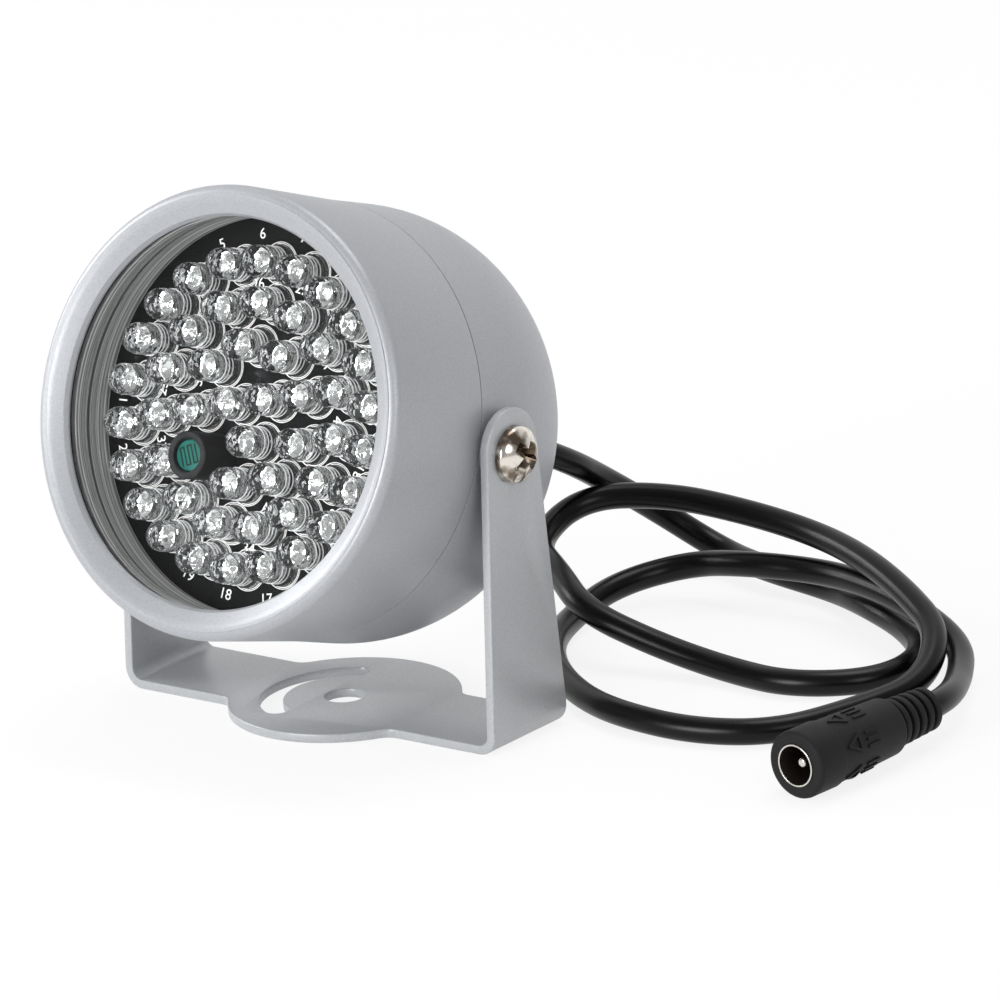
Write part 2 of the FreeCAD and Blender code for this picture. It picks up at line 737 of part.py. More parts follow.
def make_pivots():
    """A screw through each arm into the boss, and a washer between arm and boss."""
    for side, sign in (("left", -1), ("right", 1)):
        rim, crown = arm_face + D.screw_rim_height, arm_face + D.screw_head_height
        dome = D.screw_head_height - D.screw_rim_height
        head = D.screw_head_radius
        dome_radius = (head * head + dome * dome) / (dome * 2)
        tip = boss_face - D.screw_depth
        screw = new_body(f"pivot_screw_{side}", HEAD_PLACE)
        turned(
            screw,
            [
                line(tip * sign, 0),
                line(tip * sign, D.screw_radius),
                line(arm_face * sign, D.screw_radius),
                line(arm_face * sign, head),
                arc(rim * sign, head, dome_radius, -sign),
                line(crown * sign, 0),
            ],
            plane="XZ_Plane",
        )
        wide, far = D.recess_half_width, D.recess_reach
        recess = new_sketch(screw, "YZ_Plane", crown * sign)
        corners = [(wide, wide), (wide, far), (-wide, far), (-wide, wide), (-far, wide), (-far, -wide)]
        corners += [(-x, -y) for x, y in corners]
        add_loop(recess, [line(x, y) for x, y in corners])
        pocket(screw, recess, D.recess_depth, reverse=sign < 0)

        washer = new_body(f"pivot_washer_{side}", HEAD_PLACE)
        outline = new_sketch(washer, "YZ_Plane", boss_face * sign)
        add_circle(outline, 0, 0, D.washer_radius)
        add_circle(outline, 0, 0, D.pivot_hole_radius)
        pad(washer, outline, D.washer_thickness, reverse=sign < 0)


# Grommet, cord tail and leads inside


def make_grommet():
    """A moulded grommet held by its two flanges, with a tapered sleeve outside."""
    body = new_body("cord_grommet", HEAD_PLACE)
    flange, hole = D.grommet_flange_radius, D.grommet_hole_radius - D.grommet_play
    inside = D.cord_radius + D.grommet_play
    outer_flange = back_station - D.grommet_flange
    turned(
        body,
        [
            line(-(inner_back + D.grommet_flange), inside),
            line(-(inner_back + D.grommet_flange), flange),
            line(-inner_back, flange),
            line(-inner_back, hole),
            line(-back_station, hole),
            line(-back_station, flange),
            line(-outer_flange, flange),
            line(-outer_flange, D.grommet_neck_radius),
            line(-cord_exit_station, D.grommet_end_radius),
            line(-cord_exit_station, inside),
        ],
    )
    tail = new_body("cord_tail", HEAD_PLACE)
    reach = inner_back + D.cord_tail_length - cord_exit_station
    ring(tail, cord_exit_station, reach, D.cord_radius)


def rounded_path(points, radii):
    """Straight runs joined by tangent arcs, one radius for each inner point."""
    edges, start = [], points[0]
    for k in range(1, len(points) - 1):
        before, corner, after = points[k - 1], points[k], points[k + 1]
        towards = (before - corner).normalize()
        onwards = (after - corner).normalize()
        half = towards.getAngle(onwards) / 2
        back = radii[k - 1] / math.tan(half)
        first, last = corner + towards * back, corner + onwards * back
        bisector = (towards + onwards).normalize()
        centre_gap = radii[k - 1] / math.sin(half)
        middle = corner + bisector * (centre_gap - radii[k - 1])
        edges.append(Part.LineSegment(start, first).toShape())
        edges.append(Part.Arc(first, middle, last).toShape())
        start = last
    edges.append(Part.LineSegment(start, points[-1]).toShape())
    return Part.Wire(edges)


def tube(points, radii, radius):
    """A round tube along a rounded path, its volume checked against section and length."""
    path = rounded_path(points, radii)
    section = Part.Wire(Part.makeCircle(radius, points[0], points[1] - points[0]))
    solid = path.makePipeShell([section], True, False)
    expected = math.pi * radius**2 * path.Length
    if abs(solid.Volume - expected) > 0.005 * expected:
        raise ValueError(f"tube volume {solid.Volume:.1f} is not {expected:.1f}")
    return solid, path.Length


def free_form(name, solid):
    """A node whose solid is made directly."""
    feature = doc.addObject("Part::Feature", name)
    feature.Label = name
    feature.Shape = solid
    nodes.append(feature)


def smooth_radii(points):
    """For each inner point the arc that uses 45 % of its shorter run."""
    radii = []
    for before, corner, after in zip(points, points[1:], points[2:]):
        turn = (corner - before).getAngle(after - corner)
        run = min((corner - before).Length, (after - corner).Length)
        radii.append(0.45 * run / math.tan(turn / 2))
    return radii


def make_power_cord(socket_length):
    """The lead from the grommet's end to the tail of the socket."""
    tilt = math.radians(D.rest_tilt.value)
    heading = math.radians(D.socket_heading.value)
    out = Vector(0, math.cos(tilt), -math.sin(tilt))
    leave = Vector(0, 0, D.pivot_height.value) - out * cord_exit_station.value
    into = Vector(math.sin(heading), math.cos(heading), 0)
    arrive = Vector(D.socket_x.value, D.socket_y.value, D.socket_radius.value)
    arrive += into * socket_length.value
    points = [leave, leave + out * CORD_RUN_OUT]
    points += [Vector(*spot) for spot in CORD_ROUTE]
    points += [arrive + into * CORD_RUN_IN, arrive]
    radii = smooth_radii(points)
    solid, length = tube(points, radii, D.cord_radius.value)
    free_form("power_cord", solid)
    print("power_cord points:", ", ".join(f"({p.x:.2f}, {p.y:.2f}, {p.z:.2f})" for p in points))
    print("power_cord bend radii:", ", ".join(f"{radius:.1f}" for radius in radii))
    print(f"power_cord length: {length:.1f} mm, tightest bend {min(radii):.1f} mm")


def make_leads():
    """Two insulated leads from the stripped end of the cord to the connector."""
    start = inner_back + D.cord_tail_length
    for name, sign in (("lead_red", 1), ("lead_black", -1)):
        body = new_body(name, HEAD_PLACE)
        outline = new_sketch(body, "XZ_Plane", start)
        add_circle(outline, D.lead_spacing * sign, 0, D.lead_radius)
        pad(body, outline, board_back - D.header_height - start)


# Socket on the end of the cord


def make_socket():
    """A moulded socket with ribs behind it, and its metal contacts."""
    body = new_body("socket_body", SOCKET_PLACE)
    collar, grip = D.socket_collar_length, D.socket_collar_length + D.socket_grip_length
    bore = D.contact_radius
    deep = D.socket_bore_depth
    outline = [
        line(0, bore),
        line(0, D.socket_radius - D.socket_edge),
        line(D.socket_edge, D.socket_radius),
        line(collar, D.socket_radius),
        line(collar, D.socket_grip_radius),
        line(grip, D.socket_neck_radius),
        line(grip, D.relief_core_radius),
    ]
    ribs = 5
    gap = D.relief_pitch - D.relief_rib
    for k in range(ribs):
        start = grip + D.relief_pitch * k + gap
        lower = D.relief_radius + (D.relief_end_radius - D.relief_radius) * (k / (ribs - 1))
        outline += [
            line(start, D.relief_core_radius),
            line(start, lower),
            line(start + D.relief_rib, lower),
            line(start + D.relief_rib, D.relief_core_radius),
        ]
    end = grip + D.relief_pitch * ribs
    outline.pop()
    outline += [line(end, 0), line(deep, 0), line(deep, bore)]
    turned(body, outline)

    contact = new_body("socket_contact", SOCKET_PLACE)
    turned(
        contact,
        rectangle(-D.contact_proud, bore - D.contact_wall, deep, bore),
    )
    insulator = new_body("socket_insulator", SOCKET_PLACE)
    back = deep - D.insulator_thickness
    turned(insulator, rectangle(back, D.pin_radius, deep, bore - D.contact_wall))
    pin = new_body("socket_pin", SOCKET_PLACE)
    tip = D.pin_recess
    chamfer = D.pin_radius / 2
    turned(
        pin,
        [
            line(tip, 0),
            line(tip, chamfer),
            line(tip + chamfer, D.pin_radius),
            line(deep, D.pin_radius),
            line(deep, 0),
        ],
    )
    return end


make_bracket()
make_front_shell()
make_rear_shell()
make_seals_and_glass()
make_board()
make_emitters()
make_light_sensor()
make_pivots()
make_grommet()
make_leads()
make_power_cord(make_socket())
doc.recompute()

# Check every object, then write one file for each node
bad = [o.Name for o in doc.Objects if "Invalid" in o.State or "Error" in o.State]
if bad:
    raise RuntimeError("these failed to build: " + ", ".join(bad))
os.makedirs("parts", exist_ok=True)
for node in nodes:
    if node.Shape.isNull() or not node.Shape.isValid() or not node.Shape.Solids:
        raise RuntimeError(f"{node.Label} has no valid shape")
for node in nodes:
    node.Shape.exportStep(f"parts/{node.Label}.step")
    print(f"{node.Label}: {len(node.Shape.Solids)} solid(s), {node.Shape.Volume:.1f} mm3")
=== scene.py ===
# %% [markdown]
# # An infrared illuminator, dressed for its portrait
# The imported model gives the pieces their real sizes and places. This script adds what a mould, a
# lathe and a paint shop would add: rounded edges, clear emitters with metal inside, a smooth lead,
# and a finish for each surface. Lengths are written in millimetres, and MM turns them into metres.

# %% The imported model
import json
import math

import bmesh
import bpy
from mathutils import Matrix, Vector


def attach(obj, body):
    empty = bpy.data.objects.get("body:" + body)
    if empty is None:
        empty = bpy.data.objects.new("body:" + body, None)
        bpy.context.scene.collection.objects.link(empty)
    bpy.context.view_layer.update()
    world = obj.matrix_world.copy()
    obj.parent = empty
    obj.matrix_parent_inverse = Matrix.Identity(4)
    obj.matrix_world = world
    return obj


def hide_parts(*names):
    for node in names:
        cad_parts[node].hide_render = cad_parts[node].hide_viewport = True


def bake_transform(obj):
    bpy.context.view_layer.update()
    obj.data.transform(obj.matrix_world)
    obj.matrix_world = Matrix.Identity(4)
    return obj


MM = 0.001
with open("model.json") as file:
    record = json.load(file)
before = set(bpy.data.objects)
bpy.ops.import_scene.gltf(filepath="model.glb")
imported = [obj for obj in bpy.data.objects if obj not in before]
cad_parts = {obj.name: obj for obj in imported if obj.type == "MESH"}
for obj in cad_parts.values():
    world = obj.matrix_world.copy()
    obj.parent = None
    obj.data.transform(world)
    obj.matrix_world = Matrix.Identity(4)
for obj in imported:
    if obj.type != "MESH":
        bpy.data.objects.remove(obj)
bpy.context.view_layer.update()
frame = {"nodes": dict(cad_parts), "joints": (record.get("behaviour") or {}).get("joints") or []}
nodes = frame["nodes"]
pivot = Vector(frame["joints"][0]["pos_m"])
print("nodes", len(nodes), "pivot", [round(x / MM, 2) for x in pivot])

# %% [markdown]
# ## Two places to build in
# The lamp is easiest to model lying along its own axis, so each of its pieces is made with the
# axis on Y, the front towards -Y and the tilt pivot at the origin. Then its mesh is moved to where
# the lamp stands. The two pivots and the socket on the lead have places of the same kind.

# %% Places
REST_TILT = math.radians(19)
HEAD = Matrix.Translation(pivot) @ Matrix.Rotation(-REST_TILT, 4, "X")
PIVOTS = {
    "left": HEAD @ Matrix.Rotation(math.radians(-90), 4, "Z"),
    "right": HEAD @ Matrix.Rotation(math.radians(90), 4, "Z"),
}  # in these, a station lies outwards on the tilt axis
SOCKET_FACE = Vector((90, -2.8, 5.4)) * MM
SOCKET_HEADING = math.radians(4.8)
SOCKET = Matrix.Translation(SOCKET_FACE) @ Matrix.Rotation(-SOCKET_HEADING, 4, "Z")
print("places for the lamp, its", len(PIVOTS), "pivots and the socket")

# %% [markdown]
# ## The camera
# A product photograph like this is taken from far away with a long lens, so that the round lamp
# stays round. The camera looks down by 18 degrees from the front right, turned a little about
# its own axis, and its place is worked out from those angles.


# %% Camera
def add_object(name, data, body=None):
    thing = bpy.data.objects.new(name, data)
    bpy.context.scene.collection.objects.link(thing)
    if body:
        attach(thing, body)
    return thing


AZIMUTH, ELEVATION, ROLL = (math.radians(a) for a in (38.9, 17.84, -3.9))
TARGET = Vector((33.89, 0, 38.69)) * MM
DISTANCE = 1591.84 * MM
FOCAL_PIXELS, FRAME_PIXELS = 10348.75, 1000  # focal length and frame width in pixels
SENSOR = 36.0
CLIP_START, CLIP_END = 0.1, 20

flat = math.cos(ELEVATION)
back = Vector((math.sin(AZIMUTH) * flat, -math.cos(AZIMUTH) * flat, math.sin(ELEVATION)))
right = Vector((math.cos(AZIMUTH), math.sin(AZIMUTH), 0))
up = back.cross(right)
lens = bpy.data.cameras.new("camera")
lens.sensor_width = SENSOR
lens.lens = FOCAL_PIXELS / FRAME_PIXELS * SENSOR
lens.clip_start, lens.clip_end = CLIP_START, CLIP_END
camera = add_object("camera", lens)
turn = Matrix.Rotation(ROLL, 3, back)
axes = Matrix((turn @ right, turn @ up, back)).transposed()
camera.matrix_world = Matrix.Translation(TARGET + back * DISTANCE) @ axes.to_4x4()
bpy.context.scene.camera = camera
print("camera with a lens of", round(lens.lens, 1), "mm at", round(DISTANCE, 2), "m")

# %% [markdown]
# ## Helpers for meshes
# Almost everything here was turned on a lathe or came out of a round mould, so one helper spins a
# profile round an axis. It closes the profile where it meets the axis, and it makes the normals
# point outwards.


# %% Mesh helpers
ORIGIN = (0, 0, 0)
MERGE = 0.0001 * MM  # points closer than this become one
STRAIGHT = 0.001  # a corner that turns by less, in radians, isn't rounded


def mesh_of(bm, name):
    """A finished bmesh as a mesh."""
    mesh = bpy.data.meshes.new(name)
    bm.to_mesh(mesh)
    bm.free()
    return mesh


def new_piece(name, bm, place, body, material, smooth=35):
    """A bmesh as a finished object at the origin, its place in its mesh."""
    bm.transform(place)
    mesh = mesh_of(bm, name)
    mesh.shade_smooth()
    mesh.set_sharp_from_angle(angle=math.radians(smooth))
    mesh.materials.append(material)
    return add_object(name, mesh, body)


def spin_profile(bm, profile, steps, closed=True):
    """Spins (station, radius) points in millimetres round the Y axis; station is towards -Y."""
    verts = [bm.verts.new((r * MM, -s * MM, 0)) for s, r in profile]
    pairs = list(zip(verts, verts[1:]))
    if closed:
        pairs.append((verts[-1], verts[0]))
    edges = [bm.edges.new(pair) for pair in pairs]
    full = {"angle": 2 * math.pi, "use_merge": True}
    bmesh.ops.spin(bm, geom=verts + edges, axis=(0, 1, 0), cent=ORIGIN, steps=steps, **full)
    bmesh.ops.remove_doubles(bm, verts=bm.verts, dist=MERGE)
    bmesh.ops.recalc_face_normals(bm, faces=bm.faces)


def rounded(corners, segments=4):
    """(station, radius, round) corners as profile points, each with its corner rounded off."""
    points = []
    for k, (s, r, fillet) in enumerate(corners):
        here = Vector((s, r))
        if fillet <= 0:
            points.append((s, r))
            continue
        before = (Vector(corners[k - 1][:2]) - here).normalized()
        after = (Vector(corners[(k + 1) % len(corners)][:2]) - here).normalized()
        half = before.angle(after) / 2
        centre = here + (before + after).normalized() * fillet / math.sin(half)
        run = fillet / math.tan(half)
        a, b = ((here + way * run - centre).normalized() for way in (before, after))
        for j in range(segments + 1):
            spot = centre + a.slerp(b, j / segments) * fillet if a.angle(b) > STRAIGHT else here
            points.append((spot.x, spot.y))
    return points


def turned(name, corners, body, material, place=HEAD, steps=160, segments=4, smooth=35):
    bm = bmesh.new()
    spin_profile(bm, rounded(corners, segments), steps)
    return new_piece(name, bm, place, body, material, smooth)


# %% [markdown]
# ## Helpers for finishes
# Every finish starts from the Principled shader. A colour given as a web code is turned into the
# linear values that the shader wants. A pattern in object space then varies the colour or the
# gloss, or raises the surface a little, through one small helper for each.


# %% Finish helpers
def colour(code):
    """A web colour code such as A3A5A9 as linear red, green and blue."""
    parts = [int(code[k : k + 2], 16) / 255 for k in (0, 2, 4)]
    return [p / 12.92 if p <= 0.04045 else ((p + 0.055) / 1.055) ** 2.4 for p in parts]


def finish(name, code, metallic, roughness, more=None):
    """A new material and its node tree; more holds other sockets of the shader by name."""
    material = bpy.data.materials.new(name)
    material.use_nodes = True
    shader = material.node_tree.nodes["Principled BSDF"]
    shader.inputs["Base Color"].default_value = (*colour(code), 1)
    shader.inputs["Metallic"].default_value = metallic
    shader.inputs["Roughness"].default_value = roughness
    for socket, value in (more or {}).items():
        shader.inputs[socket].default_value = value
    return material


def pattern(material, kind, scale, **settings):
    """A texture in object coordinates; scale is in features per metre."""
    tree = material.node_tree
    place = tree.nodes.new("ShaderNodeTexCoord")
    texture = tree.nodes.new(kind)
    texture.inputs["Scale"].default_value = scale
    for name, value in settings.items():
        texture.inputs[name].default_value = value
    tree.links.new(place.outputs["Object"], texture.inputs["Vector"])
    return texture


def feed(material, output, node, way_in, way_out, socket):
    """Sends an output through a node to a socket of the material's shader."""
    links = material.node_tree.links
    links.new(output, node.inputs[way_in])
    shader = material.node_tree.nodes["Principled BSDF"]
    links.new(node.outputs[way_out], shader.inputs[socket])


def vary_colour(material, output, dark, light, low, high):
    """Lets a pattern's output move the base colour between two web colours."""
    ramp = material.node_tree.nodes.new("ShaderNodeValToRGB")
    for element, code, position in zip(ramp.color_ramp.elements, (dark, light), (low, high)):
        element.position = position
        element.color = (*colour(code), 1)
    feed(material, output, ramp, "Fac", "Color", "Base Color")


def vary_roughness(material, output, low, high):
    span = material.node_tree.nodes.new("ShaderNodeMapRange")
    span.inputs["To Min"].default_value = low
    span.inputs["To Max"].default_value = high
    feed(material, output, span, "Value", "Result", "Roughness")


def raise_surface(material, output, height, strength=1.0):
    """Bump by a pattern; height is in metres."""
    bump = material.node_tree.nodes.new("ShaderNodeBump")
    bump.inputs["Strength"].default_value = strength
    bump.inputs["Distance"].default_value = height
    feed(material, output, bump, "Height", "Normal", "Normal")


def along(tree, output, direction):
    """How far the vector of an output reaches along a direction."""
    dot = tree.nodes.new("ShaderNodeVectorMath")
    dot.operation = "DOT_PRODUCT"
    dot.inputs[1].default_value = direction
    tree.links.new(output, dot.inputs[0])
    return dot.outputs["Value"]


# %% [markdown]
# ## Silver-grey paint
# The lamp and its bracket carry a metallic paint: fine flakes that catch the light one by one
# under a satin coat. Voronoi cells smaller than a quarter of a millimetre stand for the flakes.
# They change the colour a little from cell to cell, and a faint noise gives the spray's grain.


# %% Paint
FLAKES = 5200  # cells per metre
ORANGE_PEEL, PEEL_HEIGHT = 1500, 0.006  # waves per metre, and millimetres
DULLER, GLOSSIER = 0.08, 0.06  # how far one flake's roughness is from the paint's


def silver_paint(name, dark, light, roughness, metallic):
    paint = finish(name, light, metallic, roughness, {"Specular IOR Level": 0.35})
    flakes = pattern(paint, "ShaderNodeTexVoronoi", FLAKES, Randomness=1.0)
    tree = paint.node_tree
    split = tree.nodes.new("ShaderNodeSeparateColor")
    tree.links.new(flakes.outputs["Color"], split.inputs["Color"])
    vary_colour(paint, split.outputs["Red"], dark, light, 0.0, 1.0)
    vary_roughness(paint, split.outputs["Green"], roughness - GLOSSIER, roughness + DULLER)
    peel = pattern(paint, "ShaderNodeTexNoise", ORANGE_PEEL, Detail=3.0)
    raise_surface(paint, peel.outputs["Fac"], PEEL_HEIGHT * MM)
    return paint


housing_paint = silver_paint("silver_housing_paint", "9EA0A4", "A8AAAE", 0.4, 0.3)
bracket_paint = silver_paint("silver_bracket_paint", "A9ABAE", "B4B6B9", 0.36, 0.3)
print("paints", [m.name for m in (housing_paint, bracket_paint)])

# %% [markdown]
# ## The front shell
# A turned ring with a soft outer corner, a face that falls inwards to the glass, and a thin lip.
# Its profile has few corners, each with the radius of its edge, and one turn makes the ring. The
# small gap towards the rear shell leaves the fine dark line of the joint.

# %% Front shell
CREST_ROUND = 1.6
FRONT_RADIUS, SEAM_RADIUS = 35.2, 34.4
CREST_CORNER = 28.25  # where the bezel's face would meet its side, were the corner sharp
MOUTH, MOUTH_RADIUS, LIP_BACK = 26.6, 30.3, 25.4
LIP_CHAMFER, LIP_DEPTH, LIP_EDGE, MOUTH_ROUND = 0.4, 0.75, 0.1, 0.3
CROWN_STATION, CROWN_RADIUS, CROWN_ROUND = 27.8, 33.0, 5.5  # the face bulges a little at its middle
SEAM, SEAM_BEVEL, SEAM_GAP = 5.1, 0.03, 0.09  # half of the joint's gap
BORE_RADIUS = 32.2
SHELL_STEPS = 240

front_shell = turned(
    "front_shell_turned",
    [
        (MOUTH - LIP_DEPTH, MOUTH_RADIUS, LIP_EDGE),
        (MOUTH, MOUTH_RADIUS + LIP_CHAMFER, MOUTH_ROUND),
        (CROWN_STATION, CROWN_RADIUS, CROWN_ROUND),
        (CREST_CORNER, FRONT_RADIUS, CREST_ROUND),
        (SEAM + SEAM_GAP, SEAM_RADIUS, SEAM_BEVEL),
        (SEAM + SEAM_GAP, BORE_RADIUS, 0),
        (LIP_BACK, BORE_RADIUS, 0),
        (LIP_BACK, MOUTH_RADIUS, LIP_EDGE),
    ],
    "head",
    housing_paint,
    steps=SHELL_STEPS,
    segments=6,
)
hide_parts("front_shell")
print("front shell", len(front_shell.data.polygons), "faces")

# %% [markdown]
# ## The rear shell
# Behind the joint the side runs straight past the pivot, then curves in as one arc of 29 mm and
# ends in a rounded flat back. The arc's points come from the circle's own formula, so a change of
# its radius moves them all. Two round bosses stand on its sides for the pivot screws.

# %% Rear shell
DOME_START, DOME_END, DOME_RADIUS = -5.0, -24.0, 28.8
REAR_CORNER, REAR_WALL = 5.0, 2.2
GROMMET_HOLE, HOLE_CHAMFER = 3.7, 0.3
DOME_STEPS, CORNER_STEPS = 14, 8

dome_centre = SEAM_RADIUS - DOME_RADIUS
last_angle = math.asin((DOME_START - DOME_END) / DOME_RADIUS)
dome_end_radius = dome_centre + DOME_RADIUS * math.cos(last_angle)
BACK = DOME_END - REAR_CORNER * (1 - math.sin(last_angle))
corner_centre = dome_end_radius - REAR_CORNER * math.cos(last_angle)
corner_station = DOME_END + REAR_CORNER * math.sin(last_angle)


def dome_points(wall):
    """The side, the arc and the rear corner, inwards by wall."""
    points = [(DOME_START, SEAM_RADIUS - wall)]
    for k in range(1, DOME_STEPS + 1):
        angle = last_angle * k / DOME_STEPS
        radius = DOME_RADIUS - wall
        points.append((DOME_START - radius * math.sin(angle), dome_centre + radius * math.cos(angle)))
    for k in range(1, CORNER_STEPS + 1):
        angle = last_angle + (math.pi / 2 - last_angle) * k / CORNER_STEPS
        radius = REAR_CORNER - wall
        station = corner_station - radius * math.sin(angle)
        points.append((station, corner_centre + radius * math.cos(angle)))
    return points


bm = bmesh.new()
lip = SEAM - SEAM_GAP
outside = [(lip, SEAM_RADIUS - SEAM_BEVEL), (lip - SEAM_BEVEL, SEAM_RADIUS), *dome_points(0)]
outside += [(BACK, GROMMET_HOLE + HOLE_CHAMFER), (BACK + HOLE_CHAMFER, GROMMET_HOLE)]
inside = [(lip, SEAM_RADIUS - REAR_WALL), *dome_points(REAR_WALL), (BACK + REAR_WALL, GROMMET_HOLE)]
spin_profile(bm, outside + inside[::-1], SHELL_STEPS)
rear_shell = new_piece("rear_shell_domed", bm, HEAD, "head", housing_paint)
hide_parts("rear_shell")

BOSS_RADIUS, BOSS_FACE, BOSS_FOOT, BOSS_EDGE = 4.9, 35.0, 33.4, 0.25
boss_corners = [
    (BOSS_FOOT, 0, 0),
    (BOSS_FACE, 0, 0),
    (BOSS_FACE, BOSS_RADIUS, BOSS_EDGE),
    (BOSS_FOOT, BOSS_RADIUS, 0),
]
for side, place in PIVOTS.items():
    boss = turned(f"pivot_boss_{side}", boss_corners, "head", housing_paint, place, steps=64)
print("rear shell back at", round(BACK, 2), "mm")

# %% [markdown]
# ## The folded bracket
# Sheet metal that was cut, folded and painted has edges with a small round, where the paint pulls
# back and shines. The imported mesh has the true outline, so a copy of it is merged, its flat faces
# are joined, and its sharp edges are bevelled.

# %% Bracket
EDGE_ROUND, SAME_POINT = 0.35, 0.001
FLAT_ANGLE, SHARP_ANGLE = math.radians(1), math.radians(50)
bm = bmesh.new()
bm.from_mesh(nodes["bracket"].data)
bmesh.ops.remove_doubles(bm, verts=bm.verts, dist=SAME_POINT * MM)
bmesh.ops.dissolve_limit(
    bm, angle_limit=FLAT_ANGLE, verts=bm.verts, edges=bm.edges, use_dissolve_boundaries=False
)
sharp = [e for e in bm.edges if e.is_manifold and e.calc_face_angle(0) > SHARP_ANGLE]
bevel = {"offset": EDGE_ROUND * MM, "segments": 3, "profile": 0.5, "clamp_overlap": True}
bmesh.ops.bevel(bm, geom=sharp, affect="EDGES", material=-1, **bevel)
bracket = new_piece("bracket_folded", bm, Matrix.Identity(4), "bracket", bracket_paint, smooth=25)
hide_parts("bracket")
print("bracket", len(bracket.data.polygons), "faces,", len(sharp), "rounded edges")

# %% [markdown]
# ## Nickel, rubber and black mouldings
# The small parts need few settings. Bright nickel is a smooth metal with a warm tint, and its colour
# carries painted reflection: dark brown and near-white clouds. Rubber and soft plastic are dark and
# never quite even, so a slow noise moves their roughness, and a fine one gives their grain.


# %% Small finishes
CLOUDS, GRAIN = 180, 3800  # slow and fine noise of a moulding, in features per metre
WAVES, WAVE_HEIGHT = 420, 0.03  # of polished metal, per metre and in millimetres
PAINTED_REFLECTIONS = 330  # dark brown and near-white clouds of painted reflection on the nickel, per metre
CREASES, CREASE_HEIGHT = 1300, 0.3  # of stamped metal, which break up what the domes enlarge


def moulding(name, code, roughness, grain=0.01, specular=0.4):
    """A plain moulded or dipped surface: uneven gloss and a fine grain of so many millimetres."""
    material = finish(name, code, 0, roughness, {"Specular IOR Level": specular})
    slow = pattern(material, "ShaderNodeTexNoise", CLOUDS, Detail=4.0)
    vary_roughness(material, slow.outputs["Fac"], roughness - 0.07, roughness + 0.07)
    fine = pattern(material, "ShaderNodeTexNoise", GRAIN, Detail=2.0)
    raise_surface(material, fine.outputs["Fac"], grain * MM)
    return material


def bright_metal(name, code, roughness):
    """Plated metal with slow waves from polishing."""
    material = finish(name, code, 1, roughness)
    slow = pattern(material, "ShaderNodeTexNoise", WAVES, Detail=3.0)
    vary_roughness(material, slow.outputs["Fac"], roughness - 0.05, roughness + 0.09)
    raise_surface(material, slow.outputs["Fac"], WAVE_HEIGHT * MM, strength=0.6)
    return material


screw_nickel = bright_metal("warm_nickel", "BDB1A4", 0.14)
# painted reflection: the nickel's colour moves between dark brown and near white in clouds
painted_reflection = pattern(screw_nickel, "ShaderNodeTexNoise", PAINTED_REFLECTIONS, Detail=2.0)
vary_colour(screw_nickel, painted_reflection.outputs["Fac"], "75675A", "E6E0D6", 0.4, 0.55)
frame_metal = bright_metal("lead_frame_silver", "F8F8F6", 0.2)
crease = pattern(frame_metal, "ShaderNodeTexNoise", CREASES, Detail=2.0)
raise_surface(frame_metal, crease.outputs["Fac"], CREASE_HEIGHT * MM)
vary_roughness(frame_metal, crease.outputs["Fac"], 0.04, 0.3)
contact_nickel = bright_metal("contact_nickel", "D9D6CF", 0.18)
cord_sheath = moulding("black_cord_sheath", "040405", 0.3, 0.005, 0.22)
socket_black = moulding("charcoal_socket_moulding", "1A1A1B", 0.6, 0.02, 0.2)
seal_rubber = moulding("black_seal_rubber", "17171A", 0.6, 0.015, 0.3)
washer_nylon = moulding("dark_nylon", "37383A", 0.5)
board_mask = moulding("black_solder_mask", "0D0E0F", 0.3, 0.006, 0.15)
board_print = moulding("white_board_print", "FAFAF8", 0.5, 0.004)
sensor_tube = moulding("black_shrink_sleeve", "1B1B1D", 0.6, 0.01, 0.2)
sensor_teal = moulding("teal_sensor_ceramic", "145A51", 0.4, 0.02, 0.2)
sensor_track = moulding("dark_sensor_track", "08201D", 0.4, 0.004, 0.2)
socket_inside = moulding("brown_black_insulator", "1C1511", 0.5)
header_white = moulding("off_white_header", "D8D5CA", 0.5)
component_black = moulding("black_component_case", "1D1D1F", 0.55)
red_insulation = moulding("red_lead_insulation", "A81E1A", 0.4)
black_insulation = moulding("black_lead_insulation", "141416", 0.4)
CAD_FINISHES = [
    (seal_rubber, "glass_gasket", "shell_seal"),
    (board_mask, "led_board"),
    (washer_nylon, "pivot_washer_left", "pivot_washer_right"),
    (cord_sheath, "cord_tail"),
    (red_insulation, "lead_red"),
    (black_insulation, "lead_black"),
    (header_white, "lead_header"),
    (component_black, "polarity_diode", "switch_transistor", "string_resistors"),
    (socket_inside, "socket_insulator"),
]


def dress(node, material):
    """A CAD piece keeps its mesh and gets a better finish."""
    for slot in nodes[node].material_slots:
        slot.material = material


for material, *pieces in CAD_FINISHES:
    for node in pieces:
        dress(node, material)
    print(material.name, "on", pieces)

# %% [markdown]
# ## Glass and epoxy
# The emitters are cast from clear epoxy round their metal frames, and a round glass closes the
# front. Both let nearly all light through and bend it. The glass has less of an index than real
# glass, 1.5, so that it mirrors less of the white studio. Both cast no shadow here: a renderer
# would otherwise make them block the lamps, and the metal inside would stay dark.

# %% Clear materials
EPOXY_IOR, GLASS_IOR = 1.5, 1.22
SWIRLS, SWIRL_HEIGHT = 900, 0.13  # uneven places of the cast domes, per metre and in millimetres
clear_epoxy = finish(
    "clear_emitter_epoxy", "FBFDFF", 0, 0.01, {"Transmission Weight": 0.99, "IOR": EPOXY_IOR}
)
swirl = pattern(clear_epoxy, "ShaderNodeTexNoise", SWIRLS, Detail=1.0)
raise_surface(clear_epoxy, swirl.outputs["Fac"], SWIRL_HEIGHT * MM)
